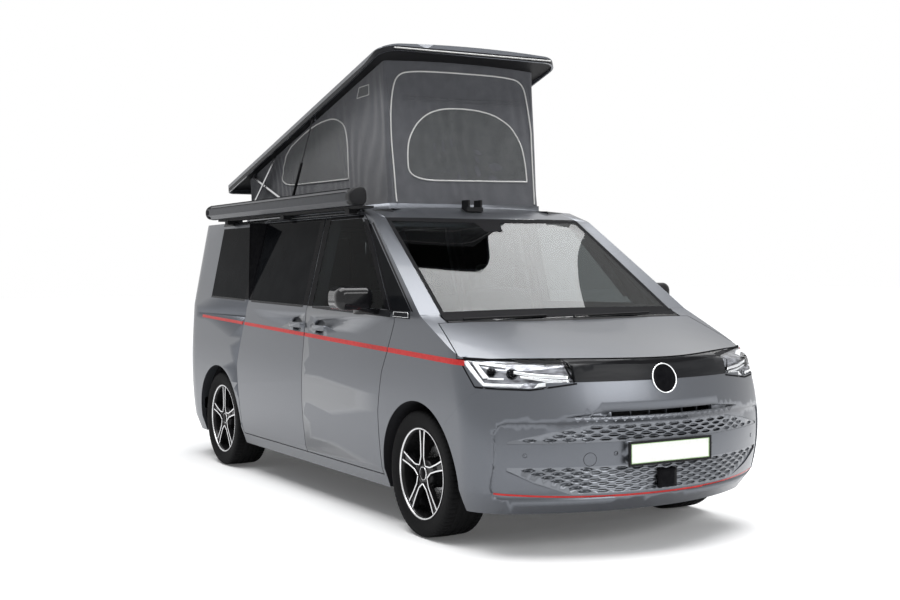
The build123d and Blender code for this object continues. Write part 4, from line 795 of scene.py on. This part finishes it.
for hand, side in HANDS:
    way = lamp_way(side)
    for piece, (edge, other_edge) in LAMP_PIECES.items():
        material = CHROME if "chrome" in piece else LIGHT_BAR
        edge, other_edge = other_side(edge, side), other_side(other_edge, side)
        laid(f"{piece}_{hand}", edge, other_edge, ["headlamps"], way, -0.007, material, 26, 5, 0.003)
    back = (other_side(edge, side) for edge in LAMP_BACK)
    laid(f"lamp_back_{hand}", *back, ["headlamps"], way, -0.030, REFLECTOR, 60, 16)
    for index, (x, y, z, radius) in enumerate(LAMP_EYES):
        place, _ = met(["headlamps"], (x, -side * y, z), way)
        turn = np.linspace(0, pi / 2, 12)
        dome = [(radius * 1.25, -0.012), (radius * 1.22, 0.003), (radius * 1.05, 0.004)]
        axis = (0.93, 0.37 * side, 0.0)
        turned(f"lamp_bezel_{index}_{hand}", place - 0.019 * np.array(axis), axis, dome, BAND, "van_body")
        eye = np.stack([radius * np.cos(turn), 0.6 * radius * np.sin(turn)], 1)
        turned(f"lamp_eye_{index}_{hand}", place - 0.019 * np.array(axis), axis, eye, GLOSS, "van_body")

BADGE_PLACE, BADGE_RADIUS, BADGE_LEAN = (FRONT_AXLE + 0.944, 0.0, 0.900), 0.080, radians(14.4)
badge_axis = (cos(BADGE_LEAN), 0.0, sin(BADGE_LEAN))
badge_ring = [(1.0, -0.030), (1.0, 0.004), (0.985, 0.0068), (0.955, 0.0078), (0.925, 0.0066), (0.915, 0.0045)]
turned("badge_ring", BADGE_PLACE, badge_axis, [(BADGE_RADIUS * r, h) for r, h in badge_ring], CHROME, "van_body", 96)
disc_turn = np.linspace(pi / 2.2, 0, 10)
badge_disc = np.stack([BADGE_RADIUS * 0.918 * np.sin(disc_turn) / sin(pi / 2.2), 0.0030 + 0.0042 * np.cos(disc_turn)], 1)
turned("badge_disc", BADGE_PLACE, badge_axis, badge_disc, GLOSS, "van_body", 96)

plate_low, plate_high = (np.array(corner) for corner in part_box("number_plate"))


def plate_ring(name, out, height_out, width, depth, front, material):
    """Rectangular frame: its outline grows by out from the plate's, with a flat section width by depth."""
    half, tall = (plate_high[1] - plate_low[1]) / 2 + out, (plate_high[2] - plate_low[2]) / 2 + height_out
    middle = (plate_high[2] + plate_low[2]) / 2
    corners = np.array([(-1, -1), (1, -1), (1, 1), (-1, 1)], float)
    section = [(0, -depth), (0, 0), (-width, 0), (-width, -depth)]
    points = np.array([
        [(plate_high[0] + front + d, sy * (half + w), middle + sz * (tall + w)) for w, d in section] for sy, sz in corners
    ])
    piece = surface(name, points, material, "van_body", wrap_u=True, wrap_v=True)
    piece.data.shade_flat()
    return piece


plate_ring("plate_frame", 0.010, 0.008, 0.012, 0.012, 0.0035, TRIM)
plate_ring("plate_border", -0.003, -0.003, 0.0045, 0.002, 0.0006, GREEN)

# red line across the bumper: height 306 + 27 (|y| / 870)^3
line_y = np.linspace(-868, 868, 121)
line_z = 306 + 27 * np.abs(line_y / 870) ** 3
red_low = np.stack([0 * line_y + 1100, line_y, line_z - 5], 1)
laid("red_bumper_line", red_low, red_low + (0, 0, 10), ["front_bumper"], FRONT_WAY, 0.0010, RED, 121, 3)

radar = blend_quad([(1.0, -0.060, 0.337), (1.0, 0.060, 0.337), (1.0, 0.060, 0.436), (1.0, -0.060, 0.436)], 6, 6)
radar[..., 0] = FRONT_AXLE + 0.968 - 0.25 * radar[..., 1] ** 2
surface("radar_panel", against(radar, FRONT_WAY), GLOSS, "van_body", thick=0.014)

for index, (y, z) in enumerate(((-755, 532), (-315, 532), (315, 532), (755, 532))):
    place, normal = met(["front_bumper"], (1100, y, z), FRONT_WAY)
    rim, face = [(0.0115, -0.004), (0.0115, 0.0005), (0.0105, 0.0009)], [(0.0100, -0.001), (0.0095, 0.0012), (0.0, 0.0015)]
    turned(f"park_sensor_{index}", place, normal, rim, SEAL, "van_body", 24)
    turned(f"park_sensor_face_{index}", place, normal, face, SILVER, "van_body", 24)
place, normal = met(["front_bumper"], (1100, -450, 506), FRONT_WAY)
seam = [(0.0350, -0.002), (0.0350, 0.0007), (0.0332, 0.0007), (0.0332, -0.002)]
turned("tow_eye_seam", place, normal, seam, SEAL, "van_body")

# black seal strips round each headlamp and along the bonnet's front edge; the strip on each lamp's top edge is the seam
# under the bonnet widened into painted shadow of the bonnet's edge, and the strip on the grille band under the bonnet's
# front edge is painted shadow
GASKETS = {
    # top strip: the seam under the bonnet, widened into a painted shadow of the bonnet's overhanging edge
    "lamp_seam_and_shadow_top": (
        ((430, -945, 1022), (604, -747, 1006), (780, -511, 997)), ((440, -943, 1006), (604, -747, 995), (780, -511, 986))
    ),
    "lamp_gasket_low": (
        ((578, -925, 876), (770, -715, 864), (861, -492, 893)), ((575, -927, 866), (770, -715, 855), (861, -492, 884))
    ),
    "lamp_gasket_side": (((428, -944, 1021), (571, -928, 870)), ((440, -942, 1021), (583, -926, 870))),
    "lamp_gasket_inner": (((774, -518, 990), (848, -508, 892)), ((778, -506, 990), (852, -496, 892))),
}
GASKET_SEATS = ["front_bumper", "headlamps", "front_wings", "upper_grille"]
for hand, side in HANDS:
    for piece, edges in GASKETS.items():
        edges = [other_side(edge, side) for edge in edges]
        laid(f"{piece}_{hand}", *edges, GASKET_SEATS, lamp_way(side), 0.0008, SEAL, 50, 3)
# painted shadow: a black strip along the top of the grille band, where the bonnet's front edge overhangs and casts its
# shade
brow_edge = [(790, -485, 1003), (815, -412, 1001), (895, -247, 999), (917, -120, 998), (921, 0, 998)]
brow_low = [(792, -505, 988), (853, -406, 986), (901, -250, 982), (922, -120, 981), (927, 0, 981)]
for hand, side in HANDS:
    laid(f"band_painted_shadow_{hand}", other_side(brow_edge, side), other_side(brow_low, side), ["upper_grille"],
         (-0.7071, 0.0, -0.7071), 0.0012, SEAL, 40, 5)

# ---------------------------------------------------------------- lid, awning and side trim
LID_RUN = float(np.hypot(2.780, 0.733))
LID_HALF = 0.665
LID_AXES = np.array([(cos(LID_SLOPE), 0, sin(LID_SLOPE)), (0, 1, 0), (-sin(LID_SLOPE), 0, cos(LID_SLOPE))])


def lid_places(along, y, up):
    """Lid coordinates to the row frame: its rear top edge, plus along its slope, y to the left and up along its normal."""
    return np.stack(np.broadcast_arrays(along, y, up), -1) @ LID_AXES + (LID_REAR, 0, LID_REAR_HEIGHT)


lid_loop = rounded_loop(-0.0006, LID_RUN + 0.0006, LID_HALF + 0.0006, 0.060, 0.130, (70, 120))
lid_along, lid_y = lid_loop[:, 0][None], lid_loop[:, 1][None]
lip_low = -0.055 + 0.021 * np.clip((lid_along - LID_RUN + 0.5) / 0.56, 0, 1) - 0.0006
lip_high = -0.027 + 0.021 * np.clip((lid_along - LID_RUN + 0.26) / 0.16, 0, 1)
lip_share = np.linspace(0, 1, 4)[:, None]
surface(
    "lid_lip", lid_places(lid_along, lid_y, lip_low + (lip_high - lip_low) * lip_share)[::-1], BAND, "roof_lid", wrap_v=True
)
edge_y = np.linspace(-0.585, 0.585, 60)
# pale line across the lid's black front edge: a painted highlight on its rim, drawn in the piping finish
swept("lid_front_painted_highlight", lid_places(LID_RUN + 0.0035, edge_y, -0.0225), ring(0.0042, 8), PIPING, "roof_lid")

across, along = np.meshgrid(np.linspace(-1, 1, 40), np.linspace(0.013, LID_RUN - 0.0125, 60), indexing="ij")
corner_run = np.clip(along - LID_RUN + 0.130, 0, 0.129)
half_here = LID_HALF - 0.0125 - (0.130 - np.sqrt(0.130 ** 2 - corner_run ** 2))
under_y = across * half_here
surface(
    "lid_lining", lid_places(along, under_y, 0.027 * (1 - (under_y / 0.685) ** 2) - 0.0328), TRIM, "roof_lid"
)


def cut_corners(points, times=2):
    """Closed outline with its corners cut, each side keeping its middle half."""
    for _ in range(times):
        after = np.roll(points, -1, 0)
        points = np.stack([0.75 * points + 0.25 * after, 0.25 * points + 0.75 * after], 1).reshape(-1, points.shape[1])
    return points


awning_low, awning_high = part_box("awning")
awning_section = cut_corners(
    np.array([(-0.822, 1.862), (-0.904, 1.862), (-0.930, 1.890), (-0.930, 1.938), (-0.896, 1.968), (-0.822, 1.972)])
)
awning_middle = awning_section.mean(0)
for end, start, way in (("front", awning_high[0], 1), ("rear", awning_low[0], -1)):
    steps = np.array([(-0.030, 1.0), (-0.030, 1.05), (0.028, 1.06), (0.038, 1.0), (0.041, 0.86), (0.041, 0.0)])
    shape = awning_middle + (awning_section - awning_middle)[None] * steps[:, None, 1:]
    x = np.repeat(start + way * steps[:, :1], len(awning_section), 1)
    cap = np.concatenate([x[..., None], shape], -1)
    surface(f"awning_cap_{end}", cap if way < 0 else cap[::-1], TRIM, "van_body", wrap_v=True)
rail_x = np.linspace(awning_low[0] + 0.005, awning_high[0] - 0.035, 3)
for index, (y, z) in enumerate(((-0.9296, 1.9425), (-0.9005, 1.9660))):
    line = np.stack([rail_x, np.full(3, y), np.full(3, z)], 1)
    swept(f"awning_line_{index}", line, ring(0.0022, 6), SEAL, "van_body")


def line_on(name, places, node_names, way, radius, material, count=80, body=None):
    """A thin round line laid along a run of places in mm, moved along way onto CAD nodes."""
    path = draped(tree_of(*node_names), van_places(along_line(places, count))[None], way, radius * 0.3)[0]
    run = np.gradient(path, axis=0)
    run /= np.linalg.norm(run, axis=1, keepdims=True)
    side = np.cross(run, np.asarray(way, float))
    section = ring(radius, 6)
    points = path[:, None] + section[None, :, :1] * side[:, None] - section[None, :, 1:] * np.asarray(way, float)
    return surface(name, points, material, body or body_of[node_names[0]], wrap_v=True)


for hand, side in HANDS:
    way = (0.0, float(-side), 0.0)
    panel, door = f"side_panel_{hand}", f"front_door_{hand}"

    def places(*corners):
        """(x, z) corners in mm as places beside the van."""
        return [(x, 0.0, z) for x, z in corners]

    laid(f"roof_band_{hand}", places((-3440, 1808), (-2520, 1809), (-1560, 1810), (-930, 1806)),
         places((-3430, 1850), (-2520, 1858), (-1560, 1858), (-985, 1852)),
         [panel, "roof_panel"], way, 0.0010, BAND, 80, 5, body="van_body")
    laid(f"belt_band_door_{hand}", places((-1450, 1226), (-346, 1200)), places((-1452, 1239), (-346, 1240)),
         [door], way, 0.0014, BAND, 60, 7)
    laid(f"belt_band_wing_{hand}", places((-336, 1200), (-104, 1196)), places((-336, 1239), (-122, 1239)),
         ["front_wings", panel], way, 0.0016, BAND, 30, 9)
    plate_edge = places((-312, 1207), (-126, 1204), (-140, 1231), (-312, 1232), (-312, 1207))
    line_on(f"belt_plate_line_{hand}", plate_edge, ["front_wings", panel], way, 0.0022, CHROME, 90)
    laid(f"belt_slide_{hand}", places((-2532, 1243), (-1604, 1228)), places((-2534, 1256), (-1604, 1242)),
         [f"sliding_door_{hand}"], way, 0.0010, BAND, 40, 3)
    laid(f"belt_rear_{hand}", places((-3386, 1262), (-2668, 1247)), places((-3386, 1274), (-2668, 1260)),
         [panel], way, 0.0010, BAND, 40, 3)
    laid(f"pillar_line_{hand}", places((-104, 1238), (-826, 1752)), places((-82, 1238), (-806, 1758)),
         [panel, "front_wings", "roof_panel"], way, 0.0010, BAND, 60, 3, body="van_body")
    laid(f"mirror_glass_{hand}", [(-700, side * -1010, 1262), (-700, side * -1150, 1270)],
         [(-700, side * -1010, 1390), (-700, side * -1150, 1380)], [f"mirror_{hand}"], (1.0, 0.0, 0.0), 0.0008, MIRROR, 16, 12)

# ---------------------------------------------------------------- glass edges, rear trim and seats
SCREEN_WAY = (-0.54, 0.0, -0.84)
for name, edge, other_edge, count, rows_of in (
    ("screen_foot_band", ((74, -803, 1200), (74, 803, 1200)), ((0, -795, 1246), (0, 795, 1246)), 40, 5),
    ("screen_head_band", ((-845, -702, 1790), (-845, 702, 1790)), ((-806, -706, 1765), (-806, 706, 1765)), 40, 5),
    ("screen_sensor", ((-808, -95, 1766), (-808, 95, 1766)), ((-716, -62, 1706), (-716, 62, 1706)), 14, 6),
    ("screen_side_right", ((74, -808, 1200), (-845, -703, 1790)), ((70, -782, 1200), (-840, -680, 1786)), 60, 4),
    ("screen_side_left", ((74, 808, 1200), (-845, 703, 1790)), ((70, 782, 1200), (-840, 680, 1786)), 60, 4),
):
    laid(name, edge, other_edge, ["windscreen"], SCREEN_WAY, 0.0006, SEAL, count, rows_of)

REAR_WAY, BEHIND = (1.0, 0.0, 0.0), -4500


def behind(line):
    """(y, z) corners in mm as places behind the van."""
    return [(BEHIND, y, z) for y, z in line]


REAR_TRIM = (
    ("high_brake_light", ((-190, 1763), (190, 1763)), ((-190, 1751), (190, 1751)), "tailgate", RED_LENS, 30),
    ("gate_handle", ((-300, 1046), (300, 1046)), ((-285, 1022), (285, 1022)), "tailgate", BAND, 30),
    ("rear_lip", ((-800, 372), (800, 372)), ((-800, 330), (800, 330)), "rear_bumper", TRIM, 50),
    ("reflector_right", ((-830, 512), (-690, 512)), ((-830, 492), (-690, 492)), "rear_bumper", RED_LENS, 12),
    ("reflector_left", ((690, 512), (830, 512)), ((690, 492), (830, 492)), "rear_bumper", RED_LENS, 12),
)
for name, edge, other_edge, node, material, count in REAR_TRIM:
    laid(name, behind(edge), behind(other_edge), [node], REAR_WAY, 0.0012, material, count, 4)
place, normal = met(["tailgate"], (BEHIND, 0, 1215), REAR_WAY)
hub = [(0.024, -0.004), (0.024, 0.012), (0.018, 0.020), (0.0, 0.022)]
turned("rear_wiper_hub", place, normal, hub, TRIM, "tailgate", 32)
wiper_reach = np.linspace(0, 1, 24)
wiper_points = draped(
    tree_of("tailgate", "tailgate_glass"),
    van_places(np.stack([BEHIND + 0 * wiper_reach, 430 * wiper_reach, 1215 + 150 * wiper_reach ** 0.8], 1))[None],
    REAR_WAY, 0.014
)[0]
swept("rear_wiper_arm", wiper_points, ring(0.0065, 8) * (1.0, 0.6), TRIM, "tailgate")


def rounded_pad(name, low, high, material, body, power=0.32, count=(48, 28)):
    """Cushion as a superellipsoid between two corners in mm: each axis is its half size times |cos|^p or |sin|^p of the
    two angles, with the signs kept."""
    low, high = van_places(low), van_places(high)
    middle, half = (low + high) / 2, (high - low) / 2
    u = np.linspace(0, 2 * pi, count[0], endpoint=False)[:, None]
    v = np.linspace(-pi / 2, pi / 2, count[1])[None]

    def bent(value, share):
        return np.sign(value) * np.abs(value) ** share

    level = bent(np.cos(v), power)
    x, y, z = level * bent(np.cos(u), power), level * bent(np.sin(u), power), bent(np.sin(v), power) + 0 * u
    points = np.stack([x, y, z], -1) * half + middle
    piece = surface(name, points, material, body, wrap_u=True)
    merge = bmesh.new()
    merge.from_mesh(piece.data)
    bmesh.ops.remove_doubles(merge, verts=merge.verts, dist=1e-6)
    merge.to_mesh(piece.data)
    merge.free()
    return piece


SEAT_X = -1360
seat_pads = {
    "seat_plinth": ((SEAT_X + 10, -630, 436), (SEAT_X + 520, -190, 660), PLASTIC, None),
    "seat_cushion": ((SEAT_X + 10, -668, 632), (SEAT_X + 560, -152, 772), SEAT_CLOTH, 0.85),
    "seat_back": ((SEAT_X - 60, -662, 706), (SEAT_X + 90, -158, 1338), SEAT_CLOTH, 0.85),
    "seat_head": ((SEAT_X - 66, -548, 1326), (SEAT_X + 30, -272, 1500), SEAT_CLOTH, 0.9),
}
for hand, side in HANDS:
    for name, (low, high, material, fill) in seat_pads.items():
        ys = sorted((-side * low[1], -side * high[1]))
        pad = rounded_pad(f"{name}_{hand}", (low[0], ys[0], low[2]), (high[0], ys[1], high[2]), material, "van_body")
        if name == "seat_back":
            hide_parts("front_seats")
for name, low, high, material, fill in (
    ("bench_plinth", (-3395, -630, 436), (-2790, 630, 640), PLASTIC, None),
    ("bench_cushion", (-3400, -640, 610), (-2780, 640, 742), SEAT_CLOTH, 0.85),
    ("bench_back", (-3480, -640, 732), (-3330, 640, 1332), SEAT_CLOTH, 0.85),
):
    pad = rounded_pad(name, low, high, material, "van_body", 0.22)
    if name == "bench_back":
        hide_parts("rear_bench")

# ---------------------------------------------------------------- camera, light and floor
CAMERA_PLACE = Vector((7.8268, -4.3202, 1.4828))
YAW, PITCH, ROLL = radians(150.139), radians(-1.4476), radians(-0.350)
ahead_way = Vector((cos(YAW) * cos(PITCH), sin(YAW) * cos(PITCH), sin(PITCH)))
right_way = Vector((sin(YAW), -cos(YAW), 0))
up_way = right_way.cross(ahead_way)
right_rolled = cos(ROLL) * right_way + sin(ROLL) * up_way
up_rolled = cos(ROLL) * up_way - sin(ROLL) * right_way
camera = bpy.data.objects.new("camera", bpy.data.cameras.new("camera"))
camera.data.lens, camera.data.sensor_width = 51.984, 36.0
camera.matrix_world = Matrix.Translation(CAMERA_PLACE) @ Matrix(
    [(right_rolled[i], up_rolled[i], -ahead_way[i], 0) for i in range(3)] + [(0, 0, 0, 1)]
)
bpy.context.scene.collection.objects.link(camera)
bpy.context.scene.camera = camera
bpy.context.scene.view_settings.view_transform = "Standard"


def seen_rays(tree):
    """1 on rays from the camera and on those that metal and glass send on, and 0 on the light that falls on the van."""
    path = tree.nodes.new("ShaderNodeLightPath")
    seen = path.outputs["Is Camera Ray"]
    for other in ("Is Glossy Ray", "Is Transmission Ray"):
        larger = tree.nodes.new("ShaderNodeMath")
        larger.operation = "MAXIMUM"
        tree.links.new(seen, larger.inputs[0])
        tree.links.new(path.outputs[other], larger.inputs[1])
        seen = larger.outputs[0]
    return seen


world = bpy.data.worlds.new("studio")
bpy.context.scene.world = world
world.use_nodes = True
studio = world.node_tree
sky = studio.nodes["Background"]
sky.inputs["Color"].default_value = (0.93, 0.96, 1.0, 1)
sky.inputs["Strength"].default_value = 0.28
white = studio.nodes.new("ShaderNodeBackground")
white.inputs["Color"].default_value = (1, 1, 1, 1)
backdrop = studio.nodes.new("ShaderNodeMixShader")
studio.links.new(seen_rays(studio), backdrop.inputs[0])
studio.links.new(sky.outputs[0], backdrop.inputs[1])
studio.links.new(white.outputs[0], backdrop.inputs[2])
studio.links.new(backdrop.outputs[0], studio.nodes["World Output"].inputs["Surface"])


def softbox(name, place, aim, size, power):
    """A rectangular lamp turned towards a point."""
    lamp = bpy.data.lights.new(name, "AREA")
    lamp.shape, lamp.size, lamp.size_y, lamp.energy = "RECTANGLE", size[0], size[1], power
    holder = bpy.data.objects.new(name, lamp)
    holder.location = place
    holder.rotation_euler = (Vector(aim) - Vector(place)).to_track_quat("-Z", "Y").to_euler()
    bpy.context.scene.collection.objects.link(holder)


softbox("top_softbox", (0.5, 0.0, 8.5), (0, 0, 0.8), (12.0, 8.0), 1700.0)
softbox("front_softbox", (8.5, 1.5, 3.6), (1.5, 0, 1.0), (4.0, 2.5), 190.0)

floor = bpy.data.objects.new("floor", bpy.data.meshes.new("floor"))
floor.data.from_pydata([(-60, -60, 0), (60, -60, 0), (60, 60, 0), (-60, 60, 0)], [], [(0, 1, 2, 3)])
floor_finish = finish_of("floor_paper", (0.93, 0.93, 0.93), 0.85, 0.0, Emission_Color=(1, 1, 1, 1))
paper = floor_finish.node_tree
glow = paper.nodes.new("ShaderNodeMath")
glow.operation = "MULTIPLY"
place = paper.nodes.new("ShaderNodeTexCoord")
distance = paper.nodes.new("ShaderNodeVectorMath")
distance.operation = "LENGTH"
spread = paper.nodes.new("ShaderNodeMapRange")
for socket, value in zip(("From Min", "From Max", "To Min", "To Max"), GLOW_REACH + FLOOR_GLOW):
    spread.inputs[socket].default_value = value
paper.links.new(place.outputs["Object"], distance.inputs[0])
paper.links.new(distance.outputs["Value"], spread.inputs["Value"])
paper.links.new(spread.outputs["Result"], glow.inputs[1])
paper.links.new(seen_rays(paper), glow.inputs[0])
paper.links.new(glow.outputs[0], paper.nodes["Principled BSDF"].inputs["Emission Strength"])
floor.data.materials.append(floor_finish)
bpy.context.scene.collection.objects.link(floor)
